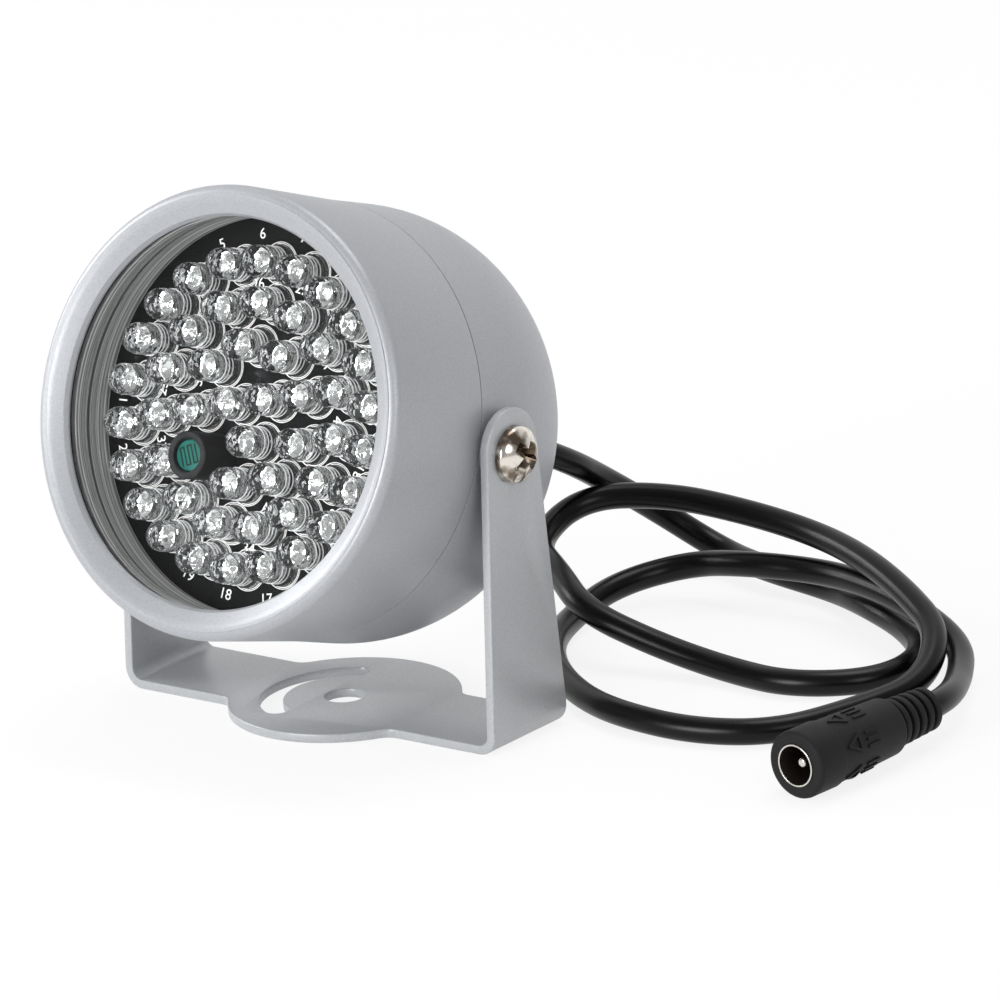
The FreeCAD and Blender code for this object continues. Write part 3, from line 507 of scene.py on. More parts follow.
# painted highlight: near-white, partly matt epoxy for the stem rings, which shows as bright arcs
arc_highlight_epoxy = finish(
    "painted_highlight_emitter_epoxy", "F6F7F8", 0, 0.25, {"Transmission Weight": 0.3, "IOR": EPOXY_IOR}
)
front_glass = finish(
    "clear_front_glass", "FDFEFE", 0, 0.0, {"Transmission Weight": 1.0, "IOR": GLASS_IOR}
)
dress("front_glass", front_glass)
nodes["front_glass"].visible_shadow = False
print("clear materials", [m.name for m in (clear_epoxy, arc_highlight_epoxy, front_glass)])

# %% [markdown]
# ## Forty-eight emitters
# A five-millimetre emitter is a clear cylinder with a half-round tip and a rim at its foot. One is
# turned from its profile, then copied round each of four rings. Each ring is one piece.

# %% Emitter places
BOARD_FRONT = 14.8
LED_RADIUS, LED_RIM_RADIUS, LED_RIM_HEIGHT, LED_HEIGHT = 2.5, 2.9, 1.0, 8.6
INNER_PLACES = 9
RINGS = {
    "outer": (23.8, 190.6, 22, 22),
    "middle": (17.46, 187.3, 15, 15),
    "inner": (10.92, 183.1, INNER_PLACES, INNER_PLACES - 1),
    "centre": (4.17, 162.0, 3, 3),
}  # ring radius, angle of the first emitter, places in the full ring, emitters


def ring_place(ring, k):
    """Where the k-th place of a ring lies on the board, and its angle about the lamp's axis."""
    radius, phase, places, _ = RINGS[ring]
    angle = math.radians(phase - 360 / places * k)
    return Vector((radius * math.cos(angle) * MM, 0, radius * math.sin(angle) * MM)), angle


def add_copy(bm, unit, offset, turn):
    """Adds the unit mesh to a bmesh, turned about the lamp's axis and moved."""
    old = len(bm.verts)
    bm.from_mesh(unit)
    bm.verts.ensure_lookup_table()
    matrix = Matrix.Translation(offset) @ Matrix.Rotation(turn, 4, "Y")
    bmesh.ops.transform(bm, matrix=matrix, verts=bm.verts[old:])


def repeated(unit, places):
    """One bmesh with a copy of the unit mesh at each (offset, turn) place."""
    bm = bmesh.new()
    for offset, turn in places:
        add_copy(bm, unit, offset, turn)
    return bm


emitter_places = {}
for ring, (_, _, _, count) in RINGS.items():
    emitter_places[ring] = [ring_place(ring, k) for k in range(count)]
upright = [(offset, 0) for places in emitter_places.values() for offset, _ in places]
print("emitter places", len(upright))

# %% Emitter body
DOME_FACES, RIM_EDGE, STEM_EDGE = 9, 0.1, 0.06
bm = bmesh.new()
dome_foot = BOARD_FRONT + LED_HEIGHT - LED_RADIUS
rim_top = BOARD_FRONT + LED_RIM_HEIGHT
profile = [
    (BOARD_FRONT, 0),
    (BOARD_FRONT, LED_RIM_RADIUS - RIM_EDGE),
    (BOARD_FRONT + RIM_EDGE, LED_RIM_RADIUS),
    (rim_top - RIM_EDGE, LED_RIM_RADIUS),
    (rim_top, LED_RIM_RADIUS - RIM_EDGE),
    (rim_top, LED_RADIUS + STEM_EDGE),
    (rim_top + STEM_EDGE, LED_RADIUS),
]
for k in range(DOME_FACES + 1):
    rise = math.pi / 2 * k / DOME_FACES
    profile.append((dome_foot + LED_RADIUS * math.sin(rise), LED_RADIUS * math.cos(rise)))
spin_profile(bm, profile, 32, closed=False)
emitter_unit = mesh_of(bm, "emitter_unit")
for ring, places in emitter_places.items():
    bm = repeated(emitter_unit, [(offset, 0) for offset, _ in places])
    emitters = new_piece(f"emitters_{ring}", bm, HEAD, "head", clear_epoxy, smooth=30)
    emitters.visible_shadow = False
    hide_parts(f"leds_{ring}")
    print(ring, len(places), "emitters,", len(emitters.data.polygons), "faces")

# %% [markdown]
# ## Rings on the stems
# Thin rings of their own stand round the lower half of each stem, with a near-white matt finish.
# They make the thin bright arcs between the emitters: partly real relief that catches the lamps,
# partly painted highlight in their light colour.

# %% Stem rings
STEM_RINGS = (1.5, 2.35, 3.2)  # heights above the board
STEM_RING_WIDTH, STEM_RING_PROUD, STEM_RING_SUNK = 0.13, 0.1, 0.03
bm = bmesh.new()
for rise in STEM_RINGS:
    low, high = BOARD_FRONT + rise, BOARD_FRONT + rise + STEM_RING_WIDTH
    near, far = LED_RADIUS - STEM_RING_SUNK, LED_RADIUS + STEM_RING_PROUD
    spin_profile(bm, [(low, near), (low, far), (high, far), (high, near)], 32)
bm = repeated(mesh_of(bm, "stem_unit"), upright)
# the stem rings carry a painted highlight in their near-white finish
stem_rings = new_piece("emitter_stem_rings", bm, HEAD, "head", arc_highlight_epoxy)
print("stem rings", len(upright) * len(STEM_RINGS))

# %% [markdown]
# ## The metal inside each emitter
# Two leads rise in the epoxy. One carries a broad anvil with a small reflector cup, which the dome
# enlarges until it fills the whole tip. The other ends in a short beak for the bond wire. Emitters
# are pushed in by hand, so each frame is turned by a few degrees of its own.

# %% Lead frames
CUP_FOOT, CUP_TOP, CUP_FLOOR = 3.7, 5.0, 4.25
CUP_RADIUS, CUP_LIP, CUP_FLOOR_RADIUS, CUP_FOOT_RADIUS = 1.05, 0.15, 0.4, 0.7
FRAME_BLOCKS = {
    "anvil": ((-1.55, 1.35, -0.4), (0.85, CUP_FOOT + 0.1, 0.4), 1.0),
    "anvil lead": ((-1.5, 0.05, -0.4), (-0.5, 1.45, 0.4), 1.0),
    "post": ((1.0, 0.05, -0.45), (1.9, 3.65, 0.45), 1.0),
    "beak": ((0.9, 3.35, -0.4), (1.9, 4.45, 0.4), 0.4),
}  # low corner, high corner and taper of each block
TURN_LIMIT, TURN_STEP = 11, 37  # degrees; the step is prime, so neighbours differ


def block(bm, low, high, taper=1.0):
    """A block between two (x, height above the board, z) corners; taper narrows its front end."""
    size = Vector(high) - Vector(low)
    middle = (Vector(high) + Vector(low)) / 2
    made = bmesh.ops.create_cube(bm, size=1)["verts"]
    for vert in made:
        if vert.co.y > 0:
            vert.co.x *= taper
    bmesh.ops.scale(bm, vec=size * MM, verts=made)
    bmesh.ops.rotate(bm, cent=ORIGIN, matrix=Matrix.Rotation(math.pi, 3, "Z"), verts=made)
    centre = Vector((middle.x, -BOARD_FRONT - middle.y, middle.z))
    bmesh.ops.translate(bm, vec=centre * MM, verts=made)


def small_turn(k):
    """A turn that looks accidental and is the same in every run."""
    return math.radians(TURN_STEP * k % (2 * TURN_LIMIT + 1) - TURN_LIMIT)


bm = bmesh.new()
cup = [
    (CUP_FOOT, 0),
    (CUP_FOOT, CUP_FOOT_RADIUS),
    (CUP_TOP, CUP_RADIUS),
    (CUP_TOP, CUP_RADIUS - CUP_LIP),
    (CUP_FLOOR, CUP_FLOOR_RADIUS),
    (CUP_FLOOR, 0),
]
spin_profile(bm, [(BOARD_FRONT + height, radius) for height, radius in cup], 20, closed=False)
for low, high, taper in FRAME_BLOCKS.values():
    block(bm, low, high, taper)
bmesh.ops.recalc_face_normals(bm, faces=bm.faces)
frame_unit = mesh_of(bm, "frame_unit")
turned_places = []
for places in emitter_places.values():
    turned_places += [(offset, small_turn(k) - angle) for k, (offset, angle) in enumerate(places)]
bm = repeated(frame_unit, turned_places)
lead_frames = new_piece("emitter_lead_frames", bm, HEAD, "head", frame_metal, smooth=30)
print("lead frames", len(turned_places), "with", len(lead_frames.data.polygons), "faces")

# %% [markdown]
# ## Print on the board
# Two thin white rings are printed round each emitter's place, and a small plain number beside it.
# Print is only a few hundredths of a millimetre thick, but as real geometry it stays sharp from
# near by.

# %% Board print
PRINT_HEIGHT = 0.03
PRINT_RINGS, PRINT_LINE = (2.98, 3.22), 0.12
NUMBER_SIZE = 2.4
NUMBER_RADII = {"outer": 28.3, "middle": 20.6, "inner": 14.2}

top, base = BOARD_FRONT + PRINT_HEIGHT, BOARD_FRONT - PRINT_HEIGHT
bm = bmesh.new()
for inner in PRINT_RINGS:
    outer = inner + PRINT_LINE
    spin_profile(bm, [(base, inner), (base, outer), (top, outer), (top, inner)], 40)
bm = repeated(mesh_of(bm, "ring_unit"), upright)
print_rings = new_piece("board_print_rings", bm, HEAD, "head", board_print)
print("printed rings", len(upright) * len(PRINT_RINGS))


# %% Board numbers
def number_mesh(text, size, depth):
    """Upright digits as a mesh that is centred on the origin and faces -Y."""
    letters = bpy.data.curves.new("number", "FONT")
    letters.body = text
    letters.size = size * MM
    letters.extrude = depth * MM
    letters.align_x, letters.align_y = "CENTER", "CENTER"
    holder = add_object("number", letters)
    bpy.context.view_layer.update()
    mesh = bpy.data.meshes.new_from_object(holder)
    bpy.data.objects.remove(holder)
    mesh.transform(Matrix.Rotation(math.radians(90), 4, "X"))
    return mesh


bm = bmesh.new()
number = 0
for ring, number_radius in NUMBER_RADII.items():
    for k in range(len(emitter_places[ring])):
        number += 1
        offset, angle = ring_place(ring, k + 0.5)
        spot = offset.normalized() * number_radius * MM + Vector((0, -BOARD_FRONT * MM, 0))
        outwards = math.radians(90 if math.sin(angle) > 0 else -90)
        digits = number_mesh(str(number), NUMBER_SIZE, PRINT_HEIGHT)
        add_copy(bm, digits, spot, outwards - angle)
board_numbers = new_piece("board_print_numbers", bm, HEAD, "head", board_print)
print("numbers printed", number)

# %% [markdown]
# ## The light sensor
# In the ninth place of the inner ring sits the sensor that switches the lamp on at dusk: a ceramic
# disc with a meandering track. It stands on two thin leads, almost flush with the front of a black
# sleeve, so that the emitters beside it can't blind it. In the photograph both reach further
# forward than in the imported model, so they are made to the photograph's sizes here.

# %% Sensor
SENSOR_FOOT, SENSOR_HEIGHT, SENSOR_RADIUS = 5.2, 2.0, 2.5
SENSOR_LEADS, SENSOR_LEAD, LEAD_SUNK = (-0.85, 0.85), 0.25, 0.2
SLEEVE_RADIUS, SLEEVE_WALL, SLEEVE_HEIGHT = 3.75, 1.15, 7.9
TRACK_FINGERS, TRACK_PITCH, TRACK_WIDTH, TRACK_REACH = 5, 0.72, 0.26, 1.45
TRACK_PROUD, TRACK_TURN = 0.05, math.radians(-24)
sensor_offset, _ = ring_place("inner", INNER_PLACES - 1)
sensor_place = HEAD @ Matrix.Translation(sensor_offset)
disc_back = BOARD_FRONT + SENSOR_FOOT
disc_front = disc_back + SENSOR_HEIGHT
disc = turned(
    "light_sensor_disc",
    [
        (disc_back, 0, 0),
        (disc_front, 0, 0),
        (disc_front, SENSOR_RADIUS, 0.25),
        (disc_back, SENSOR_RADIUS, 0.2),
    ],
    "head",
    sensor_teal,
    sensor_place,
    steps=48,
)
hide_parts("light_sensor")
bm = bmesh.new()
for x in SENSOR_LEADS:
    low = (x - SENSOR_LEAD, 0, -SENSOR_LEAD)
    block(bm, low, (x + SENSOR_LEAD, SENSOR_FOOT + LEAD_SUNK, SENSOR_LEAD))
sensor_leads = new_piece("light_sensor_leads", bm, sensor_place, "head", frame_metal)
sleeve_front = BOARD_FRONT + SLEEVE_HEIGHT
tube = turned(
    "light_sensor_tube",
    [
        (BOARD_FRONT, SLEEVE_RADIUS - SLEEVE_WALL, 0),
        (sleeve_front, SLEEVE_RADIUS - SLEEVE_WALL, 0.25),
        (sleeve_front, SLEEVE_RADIUS, 0.3),
        (BOARD_FRONT, SLEEVE_RADIUS, 0),
    ],
    "head",
    sensor_tube,
    sensor_place,
    steps=56,
)
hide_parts("light_sensor_sleeve")


def stroke(bm, low, high):
    """One line of the track between two (x, z) corners on the disc."""
    height = SENSOR_FOOT + SENSOR_HEIGHT
    under, above = height - TRACK_PROUD, height + TRACK_PROUD
    block(bm, (low[0], under, low[1]), (high[0], above, high[1]))


bm = bmesh.new()
half_line = TRACK_WIDTH / 2
first = -(TRACK_FINGERS - 1) / 2 * TRACK_PITCH
for k in range(TRACK_FINGERS):
    x = first + k * TRACK_PITCH
    stroke(bm, (x - half_line, -TRACK_REACH), (x + half_line, TRACK_REACH))
    if k < TRACK_FINGERS - 1:
        z = TRACK_REACH * (-1) ** k
        stroke(bm, (x - half_line, z - half_line), (x + TRACK_PITCH + half_line, z + half_line))
track_place = sensor_place @ Matrix.Rotation(TRACK_TURN, 4, "Y")
track = new_piece("light_sensor_track", bm, track_place, "head", sensor_track)
print("sensor at", [round(x / MM, 1) for x in sensor_place.translation])

# %% [markdown]
# ## The grooved sleeve behind the glass
# The wall that shows between the glass and the board is a turned sleeve. It starts with a smooth
# land, then two deep grooves with a thin ridge between them, and ends in a wall with shallow
# marks. All of it is one profile, and the edges catch the light as thin silver lines. The finest
# turning marks are streaks in the finish: a noise of one dimension, along the lamp's axis.

# %% Sleeve
SLEEVE_OUTSIDE, GLASS_BACK = 32.05, 23.5
LAND, GROOVE, RIDGE_WIDTH = 2.1, 0.7, 0.35
LAND_RADIUS, RIDGE_RADIUS, GROOVE_RADIUS, WALL_RADIUS = 30.5, 30.75, 31.35, 30.95
MARKS_ON_WALL, MARK_DEPTH = 6, 0.16
STREAKS, STREAK_HEIGHT = 2600, 0.03  # per metre, and in millimetres
station = GLASS_BACK - LAND
corners = [
    (BOARD_FRONT, SLEEVE_OUTSIDE, 0),
    (GLASS_BACK, SLEEVE_OUTSIDE, 0),
    (GLASS_BACK, LAND_RADIUS, 0.2),
    (station, LAND_RADIUS, 0.1),
]
for radius in (RIDGE_RADIUS, WALL_RADIUS):
    corners += [(station, GROOVE_RADIUS, 0), (station - GROOVE, GROOVE_RADIUS, 0)]
    corners += [(station - GROOVE, radius, 0.05), (station - GROOVE - RIDGE_WIDTH, radius, 0.05)]
    station -= GROOVE + RIDGE_WIDTH
mark_pitch = (station - BOARD_FRONT) / MARKS_ON_WALL
for k in range(MARKS_ON_WALL):
    middle = station - mark_pitch * (k + 0.5)
    corners.append((middle, WALL_RADIUS + MARK_DEPTH, 0))
    corners.append((middle - mark_pitch / 2, WALL_RADIUS, 0))

sleeve_metal = finish("turned_sleeve_metal", "A0A0A0", 0.35, 0.34)
lamp_axis = HEAD.to_3x3() @ Vector((0, -1, 0))
tree = sleeve_metal.node_tree
position = tree.nodes.new("ShaderNodeTexCoord")
streaks = tree.nodes.new("ShaderNodeTexNoise")
streaks.noise_dimensions = "1D"
streaks.inputs["Scale"].default_value = STREAKS
streaks.inputs["Detail"].default_value = 4.0
tree.links.new(along(tree, position.outputs["Object"], lamp_axis), streaks.inputs["W"])
vary_colour(sleeve_metal, streaks.outputs["Fac"], "6C6C6B", "DADAD9", 0.35, 0.65)
raise_surface(sleeve_metal, streaks.outputs["Fac"], STREAK_HEIGHT * MM)

sleeve = turned("spacer_sleeve_grooved", corners, "head", sleeve_metal, steps=200, smooth=20)
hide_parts("spacer_sleeve")
print("sleeve", len(sleeve.data.polygons), "faces")

# %% [markdown]
# ## Pivot screws
# Each arm hangs on a pan-head screw with a cross recess. The head is turned with its domed top,
# then two tapered wedges are cut from it with a Boolean modifier, as the recess is punched.

# %% Screws
ARM_FACE, SCREW_HEAD, SCREW_RIM, SCREW_CROWN = 37.0, 4.5, 1.2, 3.3
HEAD_CHAMFER, CROWN_DROP, CROWN_INSET, CROWN_FACES = 0.15, 0.25, 0.12, 9
SCREW_SHANK, SCREW_TIP, TIP_CHAMFER = 2.5, 28.0, 0.3
RECESS_REACH, RECESS_WIDTH, RECESS_DEPTH = 4.8, 2.2, 2.2
RECESS_TAPER = (0.35, 1, 0.7)  # how much of its size a slot keeps at its bottom
RECESS_TURNS = (28, 118)  # the two slots of the cross, in degrees
SOFT_EDGE, SOFT_ANGLE = 0.1, math.radians(40)
dome = SCREW_CROWN - SCREW_RIM
crown_radius = (SCREW_HEAD**2 + dome**2) / (2 * dome)
crown_centre = ARM_FACE + SCREW_CROWN - crown_radius


def recess_cutter(turn):
    """A wedge that narrows to the bottom of the recess; turn is in degrees."""
    bm = bmesh.new()
    made = bmesh.ops.create_cube(bm, size=1)["verts"]
    size = Vector((2 * RECESS_REACH, 2 * RECESS_DEPTH, RECESS_WIDTH)) * MM
    bmesh.ops.scale(bm, vec=size, verts=made)
    bottom = [v for v in made if v.co.y > 0]
    bmesh.ops.scale(bm, vec=RECESS_TAPER, verts=bottom)
    around = Matrix.Rotation(math.radians(turn), 3, "Y")
    bmesh.ops.rotate(bm, cent=ORIGIN, matrix=around, verts=made)
    bmesh.ops.translate(bm, vec=(0, -(ARM_FACE + SCREW_CROWN) * MM, 0), verts=made)
    return add_object("recess", mesh_of(bm, "recess"))


def finished_mesh(piece):
    """The piece's mesh with its modifiers applied."""
    bpy.context.view_layer.update()
    seen = piece.evaluated_get(bpy.context.evaluated_depsgraph_get())
    return bpy.data.meshes.new_from_object(seen)


bm = bmesh.new()
profile = [
    (SCREW_TIP, 0),
    (SCREW_TIP, SCREW_SHANK - TIP_CHAMFER),
    (SCREW_TIP + TIP_CHAMFER, SCREW_SHANK),
    (ARM_FACE, SCREW_SHANK),
    (ARM_FACE, SCREW_HEAD - HEAD_CHAMFER),
    (ARM_FACE + HEAD_CHAMFER, SCREW_HEAD),
    (ARM_FACE + SCREW_RIM - CROWN_DROP, SCREW_HEAD),
]
edge = math.asin((SCREW_HEAD - CROWN_INSET) / crown_radius)
for k in range(CROWN_FACES + 1):
    angle = edge * (1 - k / CROWN_FACES)
    profile.append((crown_centre + crown_radius * math.cos(angle), crown_radius * math.sin(angle)))
spin_profile(bm, profile, 72, closed=False)
blank = add_object("screw_blank", mesh_of(bm, "screw_unit"))
cutters = [recess_cutter(turn) for turn in RECESS_TURNS]
for k, cutter in enumerate(cutters):
    cut = blank.modifiers.new(f"recess_{k}", "BOOLEAN")
    cut.operation, cut.solver, cut.object = "DIFFERENCE", "EXACT", cutter
soften = blank.modifiers.new("soft_edges", "BEVEL")
soften.width, soften.segments = SOFT_EDGE * MM, 2
soften.limit_method, soften.angle_limit = "ANGLE", SOFT_ANGLE
screw_mesh = finished_mesh(blank)
for spare in [blank, *cutters]:
    bpy.data.objects.remove(spare)
for side, place in PIVOTS.items():
    bm = bmesh.new()
    bm.from_mesh(screw_mesh)
    screw = new_piece(f"pivot_screw_{side}_pan_head", bm, place, "head", screw_nickel, smooth=30)
    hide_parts(f"pivot_screw_{side}")
print("screw", len(screw.data.polygons), "faces")

# %% [markdown]
# ## The grommet
# A rubber grommet grips the wall of the back with two flanges and guides the lead out through a
# tapered sleeve. All of its edges are soft, as rubber comes from its mould.

# %% Grommet
FLANGE_RADIUS, FLANGE, NECK_RADIUS, END_RADIUS, GROMMET_LENGTH = 5.4, 1.7, 4.3, 3.1, 10.2
WAIST_RADIUS = GROMMET_HOLE - 0.05  # a little play in the shell's hole
CORD_RADIUS = 2.1
inner_back = BACK + REAR_WALL
grommet = turned(
    "cord_grommet_moulded",
    [
        (inner_back + FLANGE, CORD_RADIUS, 0),
        (inner_back + FLANGE, FLANGE_RADIUS, 0.4),
        (inner_back, FLANGE_RADIUS, 0),
        (inner_back, WAIST_RADIUS, 0),
        (BACK, WAIST_RADIUS, 0),
        (BACK, FLANGE_RADIUS, 0.2),
        (BACK - FLANGE, FLANGE_RADIUS, 0.7),
        (BACK - FLANGE, NECK_RADIUS, 0.3),
        (BACK - GROMMET_LENGTH, END_RADIUS, 0.5),
        (BACK - GROMMET_LENGTH, CORD_RADIUS, 0.2),
    ],
    "head",
    seal_rubber,
    steps=64,
)
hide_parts("cord_grommet")
print("grommet", len(grommet.data.polygons), "faces")

# %% [markdown]
# ## The lead
# The lead is one soft length that drops from the grommet to the floor, sweeps forward, comes back
# over itself twice and ends at the socket. Its route is a list of points chosen from the
# photograph; a NURBS curve of order three runs smoothly between them. The curve without a bevel
# gives the points that the tube follows, and with one it gives the tube itself.

# %% Lead
CORD_ROUTE = [
    (0.0, 33.95, 34.91), (0.0, 41.51, 32.31),
    (4.2, 54.0, 25.3), (2.3, 65.0, 18.9), (5.2, 75.1, 11.0), (14.6, 80.3, 3.5),
    (26.6, 75.6, 3.7), (39.4, 76.0, 2.1), (50.7, 69.7, 3.2), (62.6, 64.6, 2.3),
    (72.3, 55.7, 2.2), (73.0, 42.6, 2.2), (61.7, 34.6, 2.2), (48.5, 36.0, 2.1),
    (35.2, 35.0, 4.6), (22.5, 33.2, 8.9), (12.0, 40.6, 11.4), (1.4, 48.0, 12.4),
    (2.2, 60.1, 16.9), (14.4, 67.2, 16.9), (27.6, 70.0, 15.2), (41.3, 69.7, 13.7),
    (54.1, 65.0, 13.0), (66.3, 59.3, 10.9), (77.6, 52.7, 7.8), (82.2, 40.8, 3.5),
    (78.2, 27.8, 2.6), (72.7, 15.4, 2.2), (60.8, 10.2, 2.1), (47.5, 9.9, 2.7),
    (35.5, 15.2, 2.1), (24.6, 22.7, 2.4), (15.9, 32.6, 2.4), (10.6, 44.5, 2.2),
    (10.0, 57.5, 4.0), (17.6, 68.0, 5.6), (30.2, 66.6, 7.8), (43.0, 69.0, 7.7),
    (55.3, 65.7, 8.2), (67.5, 61.7, 7.0), (78.8, 56.6, 4.5), (85.8, 46.1, 3.5),
    (92.96, 32.5, 5.4), (92.55, 27.59, 5.4),
]
STEPS_ALONG, STEPS_AROUND = 14, 10  # per point of the route, and of the tube's half circle
curve = bpy.data.curves.new("lead_route", "CURVE")
curve.dimensions = "3D"
curve.resolution_u = STEPS_ALONG
spline = curve.splines.new("NURBS")
spline.points.add(len(CORD_ROUTE) - 1)
for point, spot in zip(spline.points, CORD_ROUTE):
    point.co = (*(Vector(spot) * MM), 1)
spline.order_u = 3
spline.use_endpoint_u = True
route = add_object("lead_route", curve)
line = finished_mesh(route)
cord_path = [v.co.copy() for v in line.vertices]
curve.bevel_depth = CORD_RADIUS * MM
curve.bevel_resolution = STEPS_AROUND
curve.use_fill_caps = True
power_cord = add_object("power_cord_sheath", finished_mesh(route))
bpy.data.objects.remove(route)
power_cord.data.shade_smooth()
power_cord.data.materials.append(cord_sheath)
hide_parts("power_cord")
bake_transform(power_cord)
length = sum((b - a).length for a, b in zip(cord_path, cord_path[1:]))
print("lead", round(length / MM), "mm,", len(power_cord.data.polygons), "faces")

# %% [markdown]
# ## The socket on the lead
# A moulded socket: a plain collar round the opening, a grip that narrows towards the lead, and
# five ribs that let the end bend. The collar's rim is rounded, and a thin seam line separates it
# from the grip.

# %% Socket body
SOCKET_RADIUS, COLLAR_LENGTH, CONTACT_RADIUS, BORE_DEPTH = 5.4, 6.0, 3.4, 9.5
GRIP_RADIUS, GRIP_LENGTH, GRIP_END = 5.15, 15.0, 4.6
RIBS, RIB_PITCH, RIB_WIDTH, RIB_RADIUS, RIB_END, CORE_RADIUS = 5, 1.9, 1.15, 3.9, 3.5, 2.9
MOUTH_EDGE, RIM_ROUND, SEAM_ROUND, GRIP_ROUND, RIB_ROUND = 0.12, 0.7, 0.2, 0.6, 0.28
END_RADIUS_INSIDE, END_DEPTH = CORD_RADIUS - 0.1, 1.0  # the last rib closes on the lead
grip_back = COLLAR_LENGTH + GRIP_LENGTH
corners = [
    (-BORE_DEPTH, 0, 0),
    (-BORE_DEPTH, CONTACT_RADIUS, 0),
    (0, CONTACT_RADIUS, MOUTH_EDGE),
    (0, SOCKET_RADIUS, RIM_ROUND),
    (-COLLAR_LENGTH, SOCKET_RADIUS, SEAM_ROUND),
    (-COLLAR_LENGTH, GRIP_RADIUS, 0),
    (-grip_back, GRIP_END, GRIP_ROUND),
    (-grip_back, CORE_RADIUS, 0),
]
for k in range(RIBS):
    radius = RIB_RADIUS + (RIB_END - RIB_RADIUS) * k / (RIBS - 1)
    start = -grip_back - RIB_PITCH * k - RIB_PITCH + RIB_WIDTH
    tail = start - RIB_WIDTH
    corners += [(start, CORE_RADIUS, 0), (start, radius, RIB_ROUND), (tail, radius, RIB_ROUND)]
    corners.append((tail, CORE_RADIUS, 0))
corners[-1] = (tail, END_RADIUS_INSIDE, 0.1)
corners += [(tail + END_DEPTH, END_RADIUS_INSIDE, 0), (tail + END_DEPTH, 0, 0)]
bm = bmesh.new()
spin_profile(bm, rounded(corners), 96, closed=False)
socket = new_piece("socket_body_moulded", bm, SOCKET, "bracket", socket_black, smooth=40)
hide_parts("socket_body")
print("socket", round(-tail, 1), "mm long,", len(socket.data.polygons), "faces")

# %% [markdown]
# ## Raised marks on the grip
# The grip carries a few raised marks for the fingers: small triangles and short bars. Each is a
# row of bars drawn flat, subdivided, and then bent round the grip.

# %% Grip marks
MARK_WIDTH, MARK_HEIGHT, MARK_CUTS = 0.46, 0.27, 5
TRIANGLE = [((-1.3, 0), (1.3, 1.3)), ((1.3, 1.3), (1.3, -1.3)), ((1.3, -1.3), (-1.3, 0))]
BARS = [((-1.2, z), (1.2, z)) for z in (-1.1, 0, 1.1)]
MARKS = [(8.4, TRIANGLE), (12.8, BARS)]
MARK_ANGLES = range(20, 380, 60)


def bar(bm, a, b, around, back_by):
    """A bar from a to b on the unrolled grip, bent round it at so many degrees and millimetres."""
    run = Vector((b[0] - a[0], b[1] - a[1], 0))
    old = len(bm.verts)
    made = bmesh.ops.create_cube(bm, size=1)["verts"]
    bmesh.ops.scale(bm, vec=(run.length + MARK_WIDTH, MARK_WIDTH, 2 * MARK_HEIGHT), verts=made)
    edges = {edge for vert in made for edge in vert.link_edges}
    long_edges = [e for e in edges if abs((e.verts[0].co - e.verts[1].co).x) > MARK_WIDTH / 2]
    bmesh.ops.subdivide_edges(bm, edges=long_edges, cuts=MARK_CUTS)
    bm.verts.ensure_lookup_table()
    made = bm.verts[old:]
    heading = math.atan2(run.y, run.x)
    bmesh.ops.rotate(bm, cent=ORIGIN, matrix=Matrix.Rotation(heading, 3, "Z"), verts=made)
    for vert in made:
        station = back_by + (a[0] + b[0]) / 2 + vert.co.x
        side = (a[1] + b[1]) / 2 + vert.co.y
        share = (station - COLLAR_LENGTH) / GRIP_LENGTH
        radius = GRIP_RADIUS + (GRIP_END - GRIP_RADIUS) * share
        angle = math.radians(around) + side / radius
        radius += vert.co.z
        vert.co = Vector((radius * math.cos(angle), station, radius * math.sin(angle))) * MM


bm = bmesh.new()
for around in MARK_ANGLES:
    for back_by, strokes in MARKS:
        for a, b in strokes:
            bar(bm, a, b, around, back_by)
bmesh.ops.recalc_face_normals(bm, faces=bm.faces)
marks = new_piece("socket_grip_marks", bm, SOCKET, "bracket", socket_black)
print("marks on the grip", len(MARK_ANGLES) * len(MARKS))

# %% [markdown]
# ## Contacts of the socket
# A thin bright sleeve lines the opening and stands a little proud, and a pin with a rounded tip
# stands on the insulator in the middle. Deep in the bore little light arrives, so the sleeve's faces
# there get the dark finish of the insulator as painted shade.

# %% Contacts
CONTACT_WALL, CONTACT_PROUD, CONTACT_EDGE = 0.3, 0.2, 0.08
PIN_RADIUS, PIN_RECESS, PIN_ROUND = 0.9, 1.2, 0.55
DARK_DEPTH = 0.3  # where the painted shade of the bore begins
contact_bore = CONTACT_RADIUS - CONTACT_WALL
contact_outside = CONTACT_RADIUS - 0.02  # just inside the moulding, so that no faces coincide
contact = turned(
    "socket_contact_rolled",
    [
        (CONTACT_PROUD, contact_bore, CONTACT_EDGE),
        (CONTACT_PROUD, contact_outside, CONTACT_EDGE),
        (-BORE_DEPTH, contact_outside, 0),
        (-BORE_DEPTH, contact_bore, 0),
    ],
    "bracket",
    contact_nickel,
    SOCKET,
    steps=80,
)
# painted shade: the contact's faces deep in the bore take the insulator's dark finish
contact.data.materials.append(socket_inside)
axis_place = SOCKET.inverted()
for face in contact.data.polygons:
    spot = axis_place @ face.center
    inside = math.hypot(spot.x, spot.z) < (CONTACT_RADIUS - CONTACT_WALL / 2) * MM
    if inside and spot.y > DARK_DEPTH * MM:
        face.material_index = 1
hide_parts("socket_contact")
bm = bmesh.new()
pin_corners = [
    (-BORE_DEPTH, 0, 0),
    (-BORE_DEPTH, PIN_RADIUS, 0),
    (-PIN_RECESS, PIN_RADIUS, PIN_ROUND),
    (-PIN_RECESS, 0, 0),
]
spin_profile(bm, rounded(pin_corners, 5), 40, closed=False)
pin = new_piece("socket_pin_rounded", bm, SOCKET, "bracket", contact_nickel)
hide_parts("socket_pin")
print("socket contact", len(contact.data.polygons), "faces, pin", len(pin.data.polygons))

